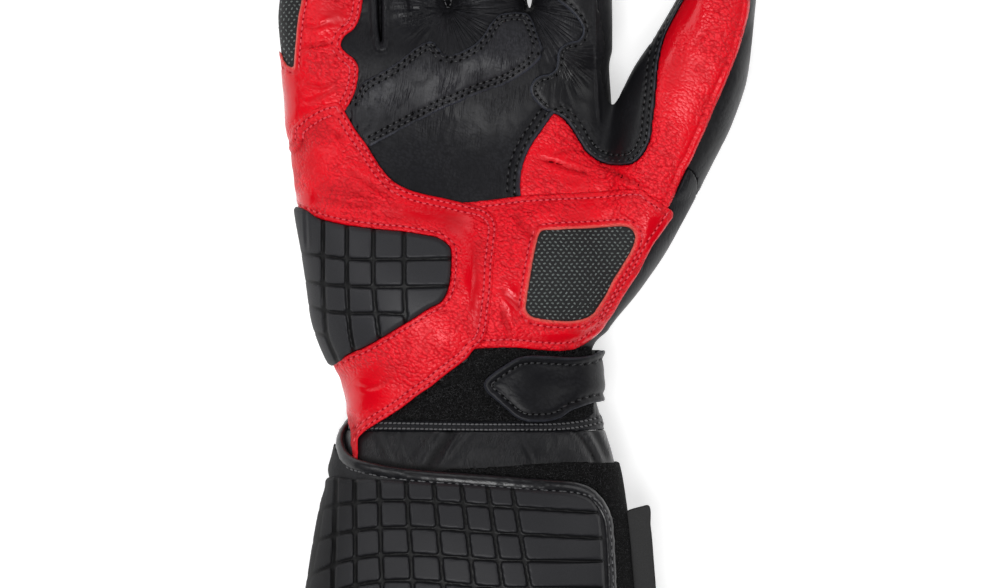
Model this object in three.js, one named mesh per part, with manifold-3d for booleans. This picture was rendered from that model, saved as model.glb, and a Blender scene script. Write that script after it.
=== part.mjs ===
// A right-hand motorcycle racing glove, lying on its back with the palm up.
// Millimetres. +X points to the thumb side, +Y to the fingertips and +Z up out of the palm.
// Outlines are read off a view of the palm, in its pixels (x to the right, y down); heights are in millimetres.
import * as THREE from "three";
import { mergeVertices } from "three/addons/utils/BufferGeometryUtils.js";
import Module from "manifold-3d";

const wasm = await Module();
wasm.setup();

// Driving dimensions
const KNUCKLE_BREADTH = 107.6; // across the finger roots
const KNUCKLE_PIXELS = 326; // the same breadth in the palm view
const ORIGIN_PIXEL = { x: 514.5, y: 222 }; // the middle of the glove's bounding box
const WALL = 1.6; // base leather with its lining
const GAP = 0.3; // between pieces that touch
const PANEL = 1.3; // single leather panel
const OVERLAY = 1.7; // leather panel with a folded edge
const HEEL_LAYER = 2.2; // leather over the heel padding
const SLIDER = 3.4; // rubber block in the heel
const SLIDER_GROOVE = 1.3;
const PAD = 1.6; // fastener pad
const STRAP = 2.2;
const FLAP = 1.7;
const GRID = 2.0; // rubber plate on the cuff flap
const GRID_GROOVE = 1.3;
const BINDING_RADIUS = 1.8;
const LABEL_THICKNESS = 1.4;
const LABEL_HEIGHT = 33; // over the surface that the glove lies on
const RING_POINTS = 20; // points round a section of the hand's outer skin
const INNER_RING_POINTS = 14;
const FLAP_RING_POINTS = 16;
const DIGIT_SQUARE = 2.3; // how boxy a digit's section is
const DOME_ANGLES = [35, 64, 84]; // sections of a rounded fingertip, in degrees from its widest
const MOUTH_OVERRUN = 5; // a hollow is cut this far past the open end
const DIGIT_POINTS = 10; // points round a section of a digit's outer skin
const INNER_DIGIT_POINTS = 6;

const FAR = 300; // well past the glove on every side
const BELOW = -30; // cutting prisms start under the glove
const ABOVE = 130; // and end over it
const SHARPEST_CORNER = 0.5; // keeps the corner of a widened outline from running off

const SCALE = KNUCKLE_BREADTH / KNUCKLE_PIXELS;
const across = (x) => (x - ORIGIN_PIXEL.x) * SCALE;
const along = (y) => (ORIGIN_PIXEL.y - y) * SCALE;

// Hand, wrist and cuff: one row for each section, from the cuff's mouth to the finger roots.
// left, right: silhouette. back, front: heights at the middle. square: 2 is an ellipse, more is boxier.
const BODY = [
  { y: 690, left: 308, right: 638, back: 0, front: 66, square: 2.3 },
  { y: 587, left: 318.5, right: 630, back: -0.5, front: 63.5, square: 2.3 },
  { y: 500, left: 332, right: 622, back: 0, front: 58.5, square: 2.3 },
  { y: 470, left: 342, right: 616, back: 1.5, front: 55, square: 2.3 },
  { y: 445, left: 350, right: 607, back: 3.5, front: 51.5, square: 2.25 },
  { y: 415, left: 353, right: 594, back: 5, front: 48.5, square: 2.25 },
  { y: 385, left: 348.5, right: 591, back: 4.5, front: 47.5, square: 2.25 },
  { y: 355, left: 334, right: 592, back: 2.5, front: 49, square: 2.3 },
  { y: 325, left: 323.5, right: 608, back: 0.5, front: 50.5, square: 2.3 },
  { y: 290, left: 317, right: 630, back: -0.5, front: 50.5, square: 2.35 },
  { y: 250, left: 311.5, right: 638, back: -1, front: 48, square: 2.4 },
  { y: 210, left: 303, right: 636, back: -1, front: 44.5, square: 2.45 },
  { y: 145, left: 292.5, right: 616, back: -1, front: 40, square: 2.55 },
  { y: 90, left: 288, right: 605, back: -0.5, front: 38.5, square: 2.6 },
  { y: 50, left: 283.5, right: 604.5, back: 1, front: 38, square: 2.6 },
  { y: 22, left: 289, right: 604, back: 4, front: 35.5, square: 2.5 },
  { y: 12, left: 304, right: 598, back: 9, front: 31, square: 2.4 },
];

// The ball of the thumb, the heel of the hand and the hollow between them raise or lower the palm.
const PALM_RELIEF = [
  { x: 470, y: 165, rise: -4.5, reachX: 62, reachY: 78 },
  { x: 578, y: 262, rise: 4, reachX: 48, reachY: 62 },
  { x: 372, y: 275, rise: 3, reachX: 60, reachY: 75 },
  { x: 450, y: 60, rise: 2, reachX: 120, reachY: 32 },
];

// Digits: breadth and depth of each section in millimetres, at a place along the digit's middle line.
const FINGER_REST = 20.5; // height of a finger's middle line at its root
const FINGER_CURL = 27; // how far that line has risen at the longest fingertip
const FINGER_REACH = 262; // pixels from the root to the longest fingertip
const CURL_POWER = 1.7;
const fingerHeight = (y) => FINGER_REST + FINGER_CURL * Math.max(0, (20 - y) / FINGER_REACH) ** CURL_POWER;

const FINGERS = {
  little: [
    { x: 333, y: 50, breadth: 28, depth: 27 },
    { x: 328.3, y: 20, breadth: 31, depth: 27 },
    { x: 327.5, y: -12, breadth: 30.5, depth: 27 },
    { x: 321, y: -70, breadth: 25.8, depth: 25 },
    { x: 313, y: -150, breadth: 22, depth: 21 },
  ],
  ring: [
    { x: 419, y: 40, breadth: 19.2, depth: 27 },
    { x: 416.5, y: -12, breadth: 20, depth: 26.5 },
    { x: 411, y: -75, breadth: 24, depth: 25 },
    { x: 404, y: -190, breadth: 22, depth: 21.5 },
  ],
  middle: [
    { x: 488, y: 40, breadth: 25.2, depth: 28 },
    { x: 489, y: -12, breadth: 25.4, depth: 27 },
    { x: 491, y: -85, breadth: 25, depth: 25.5 },
    { x: 493, y: -212, breadth: 22.5, depth: 22 },
  ],
  index: [
    { x: 569, y: 40, breadth: 25, depth: 28.5 },
    { x: 571, y: -12, breadth: 26, depth: 27.5 },
    { x: 574, y: -75, breadth: 25.5, depth: 26 },
    { x: 580, y: -185, breadth: 22.5, depth: 22 },
  ],
};

// The thumb grows out of the heel of the hand and is widest where its web meets the palm.
const THUMB = [
  { x: 596, y: 322, z: 24, breadth: 9, depth: 14 },
  { x: 615, y: 272, z: 26, breadth: 21, depth: 29 },
  { x: 643, y: 208, z: 27, breadth: 28.5, depth: 34 },
  { x: 664, y: 152, z: 28, breadth: 33, depth: 34 },
  { x: 681.5, y: 105, z: 29, breadth: 36, depth: 33 },
  { x: 701, y: 62, z: 31, breadth: 32.5, depth: 31 },
  { x: 715, y: 28, z: 33, breadth: 27.5, depth: 29 },
  { x: 721.5, y: 0, z: 34.5, breadth: 24.2, depth: 27 },
  { x: 724, y: -28, z: 36, breadth: 21.5, depth: 24 },
];

// The slit between the little and the ring finger
const FINGER_SLIT = [
  [375, -10],
  [374, 33],
  [378, 49],
  [383, 54],
  [388, 48],
  [390, 33],
  [390, -10],
];

const SLIT_CLOSES = 1.8; // a skin grown by more than this has no slit left

// Where front and back are sewn together along the sides of the hand
const SIDE_SEAM = [
  { y: 720, z: 20 },
  { y: 560, z: 20 },
  { y: 420, z: 21 },
  { y: 300, z: 17 },
  { y: 150, z: 15 },
  { y: 60, z: 16 },
];

// Outlines of the sewn pieces, in pixels of the palm view
const FAR_LEFT = 240;
const SCALLOP = [
  [371, -40],
  [366, -18],
  [363, 0],
  [359, 20],
  [354, 29],
  [344, 37],
  [341, 46],
  [346, 53],
  [357, 64],
  [358, 80],
  [350, 103],
  [345, 112],
];
const SIDE_PANEL = [
  [FAR_LEFT, -62],
  [330, -62],
  [362, -57],
  ...SCALLOP,
  [340, 150],
  [FAR_LEFT, 150],
];
const LITTLE_PATCH = [
  [FAR_LEFT, -34],
  [290, -32],
  [301, -22],
  [301, 0],
  [297, 18],
  [295, 43],
  [293, 67],
  [284, 61],
  [278, 44],
  [FAR_LEFT, 40],
];
const HEEL_PALM_EDGE = [
  [345, 112],
  [366, 144],
  [382, 169],
  [393, 181],
  [407, 189],
  [442, 198],
  [461, 202],
  [488, 211],
  [498, 226],
  [495, 255],
  [490, 308],
  [485, 337],
  [474, 350],
  [445, 375],
  [404, 406],
  [364, 432],
];
const HEEL_PANEL = [
  [FAR_LEFT, 148],
  [289, 139],
  [291, 128],
  [308, 112],
  [329, 103],
  [338, 102],
  ...HEEL_PALM_EDGE,
  [359, 440],
  [359, 454],
  [354, 455],
  [350, 440],
  [344, 424],
  [FAR_LEFT, 400],
];
const HEEL_WINDOW = [
  [FAR_LEFT, 207],
  [302, 211],
  [322, 220],
  [347, 225],
  [401, 231],
  [440, 239],
  [450, 248],
  [451, 267],
  [446, 295],
  [429, 308],
  [382, 338],
  [341, 357],
  [320, 366],
  [FAR_LEFT, 372],
];
const THENAR_PANEL = [
  [461, 202],
  [520, 196],
  [551, 194],
  [592, 192],
  [633, 189],
  [645, 192],
  [660, 203],
  [673, 213],
  [661, 234],
  [638, 274],
  [614, 313],
  [602, 330],
  [584, 344],
  [561, 351],
  [515, 347],
  [470, 349],
];
const THENAR_WINDOW = [
  [539, 238],
  [546, 231],
  [586, 229],
  [625, 227],
  [634, 232],
  [633, 244],
  [612, 281],
  [598, 306],
  [584, 318],
  [559, 320],
  [533, 316],
  [526, 310],
  [529, 282],
];
const THUMB_PANEL = [
  [553, 113],
  [572, 128],
  [587, 151],
  [610, 164],
  [633, 162],
  [645, 150],
  [653, 107],
  [657, 65],
  [663, 38],
  [680, 0],
  [694, -26],
  [712, -40],
  [733, -38],
  [746, -22],
  [750, 0],
  [745, 29],
  [731, 71],
  [712, 115],
  [690, 163],
  [669, 208],
  [640, 225],
  [519, 230],
  [519, 195],
  [524, 158],
  [532, 144],
];
const THUMB_GUSSET = [
  [558, 8],
  [576, 17],
  [582, 26],
  [578, 40],
  [562, 46],
  [557, 60],
  [553, 72],
  [533, 81],
  [530, 92],
  [545, 110],
  [572, 128],
  [587, 151],
  [610, 164],
  [633, 162],
  [645, 150],
  [653, 107],
  [657, 65],
  [663, 38],
  [680, 0],
  [660, -10],
  [612, 60],
  [605, 20],
];
const GRIP_PATCH = [
  [348, 100],
  [362, 83],
  [385, 70],
  [409, 53],
  [427, 42],
  [436, 43],
  [446, 53],
  [464, 50],
  [484, 34],
  [498, 15],
  [515, 11],
  [528, 14],
  [537, 31],
  [544, 52],
  [529, 70],
  [505, 85],
  [461, 102],
  [426, 118],
  [397, 133],
  [369, 148],
  [345, 125],
];
const WRIST_PAD = [
  [358, 426],
  [400, 400],
  [440, 372],
  [466, 345],
  [584, 341],
  [597, 341],
  [596, 417],
  [500, 423],
];
const STRAP_POINT = [
  [700, 351],
  [603, 350],
  [575, 357],
  [529, 355],
  [506, 364],
  [488, 377],
  [484, 386],
  [494, 398],
  [506, 405],
  [525, 419],
  [540, 421],
  [563, 416],
  [580, 407],
  [602, 402],
  [700, 401],
];
const STRAP_BACK = [
  [470, 351],
  [700, 351],
  [700, 401],
  [470, 401],
];
const CUFF_PAD = [
  [452, 465],
  [517, 464],
  [563, 460],
  [700, 457],
  [700, 690],
  [520, 690],
  [520, 500],
];

// The flap stands a little off the cuff at the outer side and lies on its pad at the thumb side.
const FLAP_BODY = [
  { y: 690, left: 306, right: 645, back: -4, front: 68.2, square: 2.3 },
  { y: 587, left: 316, right: 637, back: -4, front: 65.7, square: 2.3 },
  { y: 500, left: 329, right: 629, back: -3, front: 60.7, square: 2.3 },
  { y: 470, left: 334.5, right: 623, back: -2, front: 57.4, square: 2.3 },
  { y: 440, left: 339, right: 614, back: -1, front: 54.6, square: 2.3 },
];
const FLAP_EDGE = [
  [330, 447],
  [345, 451],
  [370, 460],
  [431, 471],
  [494, 477],
  [549, 482],
  [582, 487],
  [601, 499],
  [611, 515],
  [613, 540],
  [616, 587],
  [619, 640],
  [622, 684],
];
const FLAP_OUTLINE = [[FAR_LEFT, 441], ...FLAP_EDGE, [622, 690], [FAR_LEFT, 690]];

// Rubber grid of the flap: rows by the height of their grooves, columns by their place at mid height
const GRID_TOP = [
  [250, 487],
  [312, 484.5],
  [334, 480.5],
  [356, 478.5],
  [401, 479.5],
  [462, 484],
  [520, 489],
  [568, 493],
  [589, 499],
  [598, 510],
  [601, 531],
  [604, 587],
  [606, 640],
  [250, 640],
];
const GRID_ROWS = [502, 528, 555, 583, 611];
const GRID_COLUMNS = [319, 335.5, 356, 381, 410, 440, 469, 496, 521.5];
const GRID_COLUMN_LEVEL = 540;
const GRID_LEAN = { middle: 345, perPixel: 0.00075 }; // the columns fan out towards the mouth
const GROOVE_WIDTH = 5;

// Rubber grid of the heel
const HEEL_GROOVES = [
  [[323, 200], [324, 286], [338, 370]],
  [[347, 200], [348, 286], [355, 370]],
  [[375, 200], [375, 287], [382, 360]],
  [[404, 200], [407, 345]],
  [[FAR_LEFT, 251], [330, 257], [470, 259]],
  [[FAR_LEFT, 278], [330, 285], [470, 286]],
  [[FAR_LEFT, 304], [330, 311], [440, 315]],
  [[FAR_LEFT, 330], [354, 338]],
];

const LABEL = [
  [629, 510],
  [643, 506],
  [647, 505],
  [651, 527],
  [654, 560],
  [657, 600],
  [659, 640],
  [641, 642],
];

// Solids and geometry
function solidOf(geometry) {
  geometry.deleteAttribute("normal");
  geometry.deleteAttribute("uv");
  const merged = mergeVertices(geometry, 1e-4);
  return new wasm.Manifold(
    new wasm.Mesh({
      numProp: 3,
      vertProperties: merged.attributes.position.array,
      triVerts: new Uint32Array(merged.index.array),
    }),
  );
}

function geometryOf(solid) {
  const { vertProperties, triVerts } = solid.getMesh();
  const geometry = new THREE.BufferGeometry();
  geometry.setAttribute("position", new THREE.BufferAttribute(vertProperties, 3));
  geometry.setIndex(new THREE.BufferAttribute(triVerts, 1));
  return geometry;
}

// A closed skin through rings of points, with a fan over each end
function loft(rings) {
  const count = rings[0].length;
  const ends = [rings[0], rings[rings.length - 1]];
  const points = rings.flat();
  for (const ring of ends) {
    const middle = new THREE.Vector3();
    ring.forEach((point) => middle.add(point));
    points.push(middle.divideScalar(count));
  }
  const index = [];
  for (let i = 0; i < count; i++) {
    const next = (i + 1) % count;
    for (let ring = 0; ring + 1 < rings.length; ring++) {
      const a = ring * count;
      const b = a + count;
      index.push(a + i, a + next, b + next, a + i, b + next, b + i);
    }
    const last = (rings.length - 1) * count;
    index.push(points.length - 2, next, i);
    index.push(points.length - 1, last + i, last + next);
  }
  const geometry = new THREE.BufferGeometry().setFromPoints(points);
  geometry.setIndex(index);
  return solidOf(geometry);
}

// A prism over an outline given in pixels of the palm view
function prism(outline, low = BELOW, high = ABOVE) {
  const shape = new THREE.Shape(outline.map(([x, y]) => new THREE.Vector2(across(x), along(y))));
  const geometry = new THREE.ExtrudeGeometry(shape, { depth: high - low, bevelEnabled: false });
  return solidOf(geometry.translate(0, 0, low));
}

function box(lowX, highX, lowY, highY, lowZ, highZ) {
  const geometry = new THREE.BoxGeometry(highX - lowX, highY - lowY, highZ - lowZ);
  geometry.translate((lowX + highX) / 2, (lowY + highY) / 2, (lowZ + highZ) / 2);
  return solidOf(geometry);
}

// The same outline moved outwards by some millimetres
function widened(outline, distance) {
  const shape = outline.map(([x, y]) => new THREE.Vector2(x, y));
  const turn = THREE.ShapeUtils.isClockWise(shape) ? 1 : -1;
  return shape.map((point, i) => {
    const before = shape[(i + shape.length - 1) % shape.length];
    const after = shape[(i + 1) % shape.length];
    const into = point.clone().sub(before).normalize();
    const out = after.clone().sub(point).normalize();
    const middle = into.clone().add(out).normalize();
    const normal = new THREE.Vector2(-middle.y, middle.x).multiplyScalar(turn);
    const stretch = Math.max(SHARPEST_CORNER, Math.abs(normal.x * -into.y + normal.y * into.x));
    return [
      point.x + (normal.x * distance) / SCALE / stretch,
      point.y + (normal.y * distance) / SCALE / stretch,
    ];
  });
}

// A strip of constant width along a line given in pixels
function strip(line, width) {
  const points = line.map(([x, y]) => new THREE.Vector2(x, y));
  const sides = points.map((point, i) => {
    const ahead = points[Math.min(i + 1, points.length - 1)].clone();
    const direction = ahead.sub(points[Math.max(i - 1, 0)]).normalize();
    const half = new THREE.Vector2(-direction.y, direction.x).multiplyScalar(width / 2);
    return [point.clone().add(half), point.clone().sub(half)];
  });
  const outline = [...sides.map((side) => side[0]), ...sides.map((side) => side[1]).reverse()];
  return outline.map((point) => [point.x, point.y]);
}

// Superellipse: the point at an angle on a rounded box
function rounded(angle, square) {
  const power = 2 / square;
  const cos = Math.cos(angle);
  const sin = Math.sin(angle);
  return [Math.sign(cos) * Math.abs(cos) ** power, Math.sign(sin) * Math.abs(sin) ** power];
}

function relief(x, y) {
  let rise = 0;
  for (const bump of PALM_RELIEF) {
    const dx = (x - across(bump.x)) / (bump.reachX * SCALE);
    const dy = (y - along(bump.y)) / (bump.reachY * SCALE);
    rise += bump.rise * Math.exp(-dx * dx - dy * dy);
  }
  return rise;
}

function bodyLoft(rows, grow, overrun, count) {
  const rings = rows.map((row, i) => {
    const middleX = (across(row.left) + across(row.right)) / 2;
    const halfX = (across(row.right) - across(row.left)) / 2 + grow;
    const middleZ = (row.back + row.front) / 2;
    const halfZ = (row.front - row.back) / 2 + grow;
    let y = along(row.y);
    if (i === 0) y -= overrun;
    if (i === rows.length - 1) y += grow;
    const ring = [];
    for (let k = 0; k < count; k++) {
      const [u, w] = rounded((2 * Math.PI * k) / count, row.square);
      const x = middleX + halfX * u;
      const rise = w > 0 ? relief(x, y) * w : 0;
      ring.push(new THREE.Vector3(x, y, middleZ + halfZ * w + rise));
    }
    return ring.reverse();
  });
  return loft(rings);
}

function digitLoft(rows, grow) {
  const count = grow < 0 ? INNER_DIGIT_POINTS : DIGIT_POINTS;
  const middles = rows.map((row) => new THREE.Vector3(across(row.x), along(row.y), row.z));
  const rings = [];
  const addRing = (middle, direction, breadth, depth) => {
    const side = new THREE.Vector3(direction.y, -direction.x, 0).normalize();
    const up = side.clone().cross(direction).normalize();
    const ring = [];
    for (let k = 0; k < count; k++) {
      const [u, w] = rounded((2 * Math.PI * k) / count, DIGIT_SQUARE);
      const point = middle.clone();
      point.addScaledVector(side, (breadth / 2 + grow) * u);
      point.addScaledVector(up, (depth / 2 + grow) * w);
      ring.push(point);
    }
    rings.push(ring.reverse());
  };
  rows.forEach((row, i) => {
    const ahead = middles[Math.min(i + 1, rows.length - 1)].clone();
    const direction = ahead.sub(middles[Math.max(i - 1, 0)]).normalize();
    const middle = middles[i].clone();
    if (i === 0) middle.addScaledVector(direction, -grow);
    addRing(middle, direction, row.breadth, row.depth);
  });
  const last = rows[rows.length - 1];
  const direction = middles[rows.length - 1].clone().sub(middles[rows.length - 2]).normalize();
  const reach = last.breadth / 2;
  for (const angle of DOME_ANGLES) {
    const turn = THREE.MathUtils.degToRad(angle);
    const middle = middles[rows.length - 1].clone();
    middle.addScaledVector(direction, (reach + grow) * Math.sin(turn));
    const narrow = Math.cos(turn);
    addRing(
      middle,
      direction,
      (last.breadth + 2 * grow) * narrow - 2 * grow,
      (last.depth + 2 * grow) * narrow - 2 * grow,
    );
  }
  return loft(rings);
}

function fingerLoft(rows, grow) {
  return digitLoft(rows.map((row) => ({ ...row, z: fingerHeight(row.y) })), grow);
}

// The whole hand, grown or shrunk by some millimetres
const handCache = new Map();
function hand(grow) {
  if (handCache.has(grow)) return handCache.get(grow);
  const inside = grow < 0;
  let solid = bodyLoft(BODY, grow, inside ? MOUTH_OVERRUN : 0, inside ? INNER_RING_POINTS : RING_POINTS);
  for (const rows of Object.values(FINGERS)) solid = solid.add(fingerLoft(rows, grow));
  solid = solid.add(digitLoft(THUMB, grow));
  if (grow < SLIT_CLOSES) solid = solid.subtract(prism(widened(FINGER_SLIT, -grow)));
  const floor = inside ? -grow : 0; // the back is flattened where the glove rests on it
  solid = solid.subtract(box(-FAR, FAR, -FAR, FAR, -FAR, floor));
  handCache.set(grow, solid);
  return solid;
}

const layer = (low, high) => hand(high).subtract(hand(low));

// The side of the seam that faces the palm: everything above it, seen along X
function aboveSeam(line, lift) {
  const shape = new THREE.Shape([
    ...line.map(({ y, z }) => new THREE.Vector2(along(y), z + lift)),
    new THREE.Vector2(along(line[line.length - 1].y), ABOVE),
    new THREE.Vector2(along(line[0].y), ABOVE),
  ]);
  const geometry = new THREE.ExtrudeGeometry(shape, { depth: 2 * FAR, bevelEnabled: false });
  // The shape's x runs along Y and its y runs along Z
  geometry.applyMatrix4(new THREE.Matrix4().makeBasis(
    new THREE.Vector3(0, 1, 0),
    new THREE.Vector3(0, 0, 1),
    new THREE.Vector3(1, 0, 0),
  ));
  return solidOf(geometry.translate(-FAR, 0, 0));
}

// Past the finger roots the seam follows the middle lines of the fingers
const FINGER_SEAM_PIXELS = [20, -55, -130, -205, -280];
const seam = [...SIDE_SEAM, ...FINGER_SEAM_PIXELS.map((y) => ({ y, z: fingerHeight(y) }))];
const palmSide = aboveSeam(seam, GAP / 2);
const notBackSide = aboveSeam(seam, -GAP / 2);
const thumbSeam = [{ y: 340, z: THUMB[0].z }, ...THUMB, { y: -120, z: 40 }];
const thumbPalmSide = aboveSeam(thumbSeam, GAP / 2);
const thumbNotBackSide = aboveSeam(thumbSeam, -GAP / 2);

// Pixel lines where the base leather is divided
const WRIST_LINE = 430;
const FINGER_LINE = 10;
const THUMB_REGION = [
  [613, 104],
  [702, 187],
  [830, 187],
  [830, -120],
  [613, -120],
];

// A cut can leave a crumb at a piece's corner: the piece is the largest body
function largest(solid) {
  const bodies = solid.decompose();
  return bodies.reduce((best, body) => (body.volume() > best.volume() ? body : best));
}

function cutOut(solid, outlines) {
  return outlines.reduce((rest, outline) => rest.subtract(prism(widened(outline, GAP))), solid);
}

function tile(outline, low, high, side = palmSide) {
  return layer(low, high).intersect(prism(outline)).intersect(side);
}

function grooved(solid, cutter, grooves) {
  return grooves.reduce(
    (rest, line) => rest.subtract(cutter.intersect(prism(strip(line, GROOVE_WIDTH)))),
    solid,
  );
}

const group = new THREE.Group();
const LEATHER = { roughness: 0.45, metalness: 0 };
const MATERIALS = {
  black: new THREE.MeshStandardMaterial({ color: 0x1c1c1f, ...LEATHER }),
  red: new THREE.MeshStandardMaterial({ color: 0xd00018, ...LEATHER }),
  rubber: new THREE.MeshStandardMaterial({ color: 0x2a2a2e, roughness: 0.7, metalness: 0 }),
  fuzz: new THREE.MeshStandardMaterial({ color: 0x0e0e0e, roughness: 1, metalness: 0 }),
  plates: new THREE.MeshStandardMaterial({ color: 0x3a3f3d, roughness: 0.5, metalness: 0 }),
};

function addPiece(name, material, solid) {
  const mesh = new THREE.Mesh(geometryOf(largest(solid)), MATERIALS[material]);
  mesh.name = name;
  group.add(mesh);
}

// Base leather
const shell = hand(0).subtract(hand(-WALL));
const wristY = along(WRIST_LINE);
const rootY = along(FINGER_LINE);
const thumbRegion = prism(THUMB_REGION);
const palmRegion = box(-FAR, FAR, wristY, rootY, -FAR, FAR).subtract(prism(widened(THUMB_REGION, GAP)));
const cuffRegion = box(-FAR, FAR, -FAR, wristY - GAP, -FAR, FAR);

addPiece("palm_shell", "black", shell.intersect(palmRegion).intersect(palmSide));
addPiece("hand_back", "black", shell.intersect(palmRegion).subtract(notBackSide));
addPiece("gauntlet_front", "black", shell.intersect(cuffRegion).intersect(palmSide));
addPiece("gauntlet_back", "black", shell.intersect(cuffRegion).subtract(notBackSide));
const fingerRegion = box(-FAR, FAR, rootY + GAP, FAR, -FAR, FAR);
for (const [name, rows] of Object.entries(FINGERS)) {
  const region = fingerLoft(rows, 0).intersect(fingerRegion);
  addPiece(name + "_finger_front", "black", shell.intersect(region).intersect(palmSide));
  addPiece(name + "_finger_back", "black", shell.intersect(region).subtract(notBackSide));
}
addPiece("thumb_front", "black", shell.intersect(thumbRegion).intersect(thumbPalmSide));
addPiece("thumb_back", "black", shell.intersect(thumbRegion).subtract(thumbNotBackSide));

// Palm and little-finger side
addPiece(
  "side_panel",
  "red",
  cutOut(tile(SIDE_PANEL, GAP, GAP + OVERLAY), [HEEL_PANEL, LITTLE_PATCH]),
);
addPiece("little_finger_patch", "plates", tile(LITTLE_PATCH, GAP, GAP + PANEL));
addPiece(
  "palm_grip_patch",
  "black",
  cutOut(tile(GRIP_PATCH, GAP, GAP + PANEL), [SIDE_PANEL, HEEL_PANEL, THUMB_GUSSET]),
);

// Heel of the hand
addPiece(
  "heel_panel",
  "red",
  tile(HEEL_PANEL, GAP, GAP + HEEL_LAYER).subtract(prism(HEEL_WINDOW)),
);
const sliderTop = GAP + SLIDER;
addPiece(
  "heel_slider",
  "rubber",
  grooved(
    tile(widened(HEEL_WINDOW, -GAP), GAP, sliderTop),
    layer(sliderTop - SLIDER_GROOVE, sliderTop + 1),
    HEEL_GROOVES,
  ),
);

// Thumb
addPiece(
  "thenar_panel",
  "red",
  cutOut(tile(THENAR_PANEL, GAP, GAP + OVERLAY), [HEEL_PANEL]).subtract(prism(THENAR_WINDOW)),
);
addPiece("thenar_patch", "plates", tile(widened(THENAR_WINDOW, -GAP), GAP, GAP + PANEL));
addPiece(
  "thumb_panel",
  "red",
  cutOut(tile(THUMB_PANEL, GAP, GAP + PANEL, thumbPalmSide), [
    THENAR_PANEL,
    HEEL_PANEL,
    THUMB_GUSSET,
  ]),
);
addPiece("thumb_gusset", "black", tile(THUMB_GUSSET, GAP, GAP + OVERLAY, thumbPalmSide));

// Wrist
addPiece(
  "wrist_loop_pad",
  "fuzz",
  cutOut(tile(WRIST_PAD, GAP, GAP + PAD), [HEEL_PANEL, THENAR_PANEL]),
);
const strapLow = 2 * GAP + PAD;
const strapLayer = layer(strapLow, strapLow + STRAP);
const strapTurn = aboveSeam(seam, 0);
const strapFront = strapLayer.intersect(prism(STRAP_POINT)).intersect(strapTurn);
const strapBack = strapLayer.intersect(prism(STRAP_BACK)).subtract(strapTurn);
addPiece("wrist_strap", "black", strapFront.add(strapBack));

// Cuff
addPiece("cuff_loop_pad", "fuzz", tile(CUFF_PAD, GAP, GAP + PAD));

const flapBody = (grow) => bodyLoft(FLAP_BODY, grow, grow === 0 ? MOUTH_OVERRUN : 0, FLAP_RING_POINTS);
const padRoom = hand(PAD + 2 * GAP).intersect(prism(widened(CUFF_PAD, GAP)));
const flapInner = flapBody(0).add(hand(GAP)).add(padRoom);

function flapRow(y) {
  const next = FLAP_BODY.findIndex((row) => row.y <= y);
  const after = FLAP_BODY[Math.max(next, 1)];
  const before = FLAP_BODY[Math.max(next, 1) - 1];
  const share = (before.y - y) / (before.y - after.y);
  const mixed = {};
  for (const key of Object.keys(after)) mixed[key] = before[key] + (after[key] - before[key]) * share;
  return mixed;
}

// The place on the flap, a height above its inner face, at an angle round the cuff
function flapPoint(y, angle, grow) {
  const row = flapRow(y);
  const [u, w] = rounded(angle, row.square);
  const halfX = (across(row.right) - across(row.left)) / 2 + grow;
  const halfZ = (row.front - row.back) / 2 + grow;
  const x = (across(row.left) + across(row.right)) / 2 + halfX * u;
  return new THREE.Vector3(x, along(y), (row.back + row.front) / 2 + halfZ * w);
}

// The place on the flap over a pixel of the palm view
function flapPlace([x, y], grow) {
  const row = flapRow(y);
  const halfX = (across(row.right) - across(row.left)) / 2 + grow;
  const u = (across(x) - (across(row.left) + across(row.right)) / 2) / halfX;
  const halfZ = (row.front - row.back) / 2 + grow;
  const w = Math.max(0, 1 - Math.abs(u) ** row.square) ** (1 / row.square);
  return new THREE.Vector3(across(x), along(y), (row.back + row.front) / 2 + halfZ * w);
}

const BINDING_SIDE_ANGLES = [196, 180, 162];
const BINDING_CORNERS = 3; // half the points round its section
const BINDING_STEPS = 22;
function bindingTube(radius) {
  const depth = FLAP / 2;
  const side = BINDING_SIDE_ANGLES.map((angle) =>
    flapPoint(444 + (angle - 180) / 10, THREE.MathUtils.degToRad(angle), depth),
  );
  const edge = FLAP_EDGE.slice(1).map((pixel) => flapPlace(pixel, depth));
  const path = new THREE.CatmullRomCurve3([...side, ...edge], false, "centripetal");
  const section = new THREE.Shape();
  section.absarc(0, 0, radius, 0, 2 * Math.PI);
  const geometry = new THREE.ExtrudeGeometry(section, {
    extrudePath: path,
    steps: BINDING_STEPS,
    curveSegments: BINDING_CORNERS,
    bevelEnabled: false,
  });
  return solidOf(geometry);
}

addPiece("cuff_flap_binding", "black", bindingTube(BINDING_RADIUS).subtract(flapInner));
const flapSheet = flapBody(FLAP).subtract(flapInner).intersect(prism(FLAP_OUTLINE)).intersect(palmSide);
addPiece("cuff_flap", "black", flapSheet.subtract(bindingTube(BINDING_RADIUS + GAP)));

const gridLow = FLAP + GAP;
const gridTop = gridLow + GRID;
const gridSheet = flapBody(gridTop)
  .subtract(flapBody(gridLow))
  .intersect(prism(GRID_TOP))
  .intersect(palmSide)
  .subtract(bindingTube(BINDING_RADIUS + GAP));
const gridCutter = flapBody(gridTop + 1).subtract(flapBody(gridTop - GRID_GROOVE));
const rowGrooves = GRID_ROWS.map((y) => [[FAR_LEFT, y - 2], [640, y + 3]]);
const columnGrooves = GRID_COLUMNS.map((x) =>
  [440, 700].map((y) => [
    x + (x - GRID_LEAN.middle) * (y - GRID_COLUMN_LEVEL) * GRID_LEAN.perPixel,
    y,
  ]),
);
addPiece(
  "cuff_flap_grid",
  "rubber",
  grooved(gridSheet, gridCutter, [...rowGrooves, ...columnGrooves]),
);

const labelSolid = prism(LABEL, LABEL_HEIGHT, LABEL_HEIGHT + LABEL_THICKNESS);
addPiece("cuff_label", "black", labelSolid.subtract(hand(PAD + 2 * GAP)));

export default group;
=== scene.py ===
import math

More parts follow.
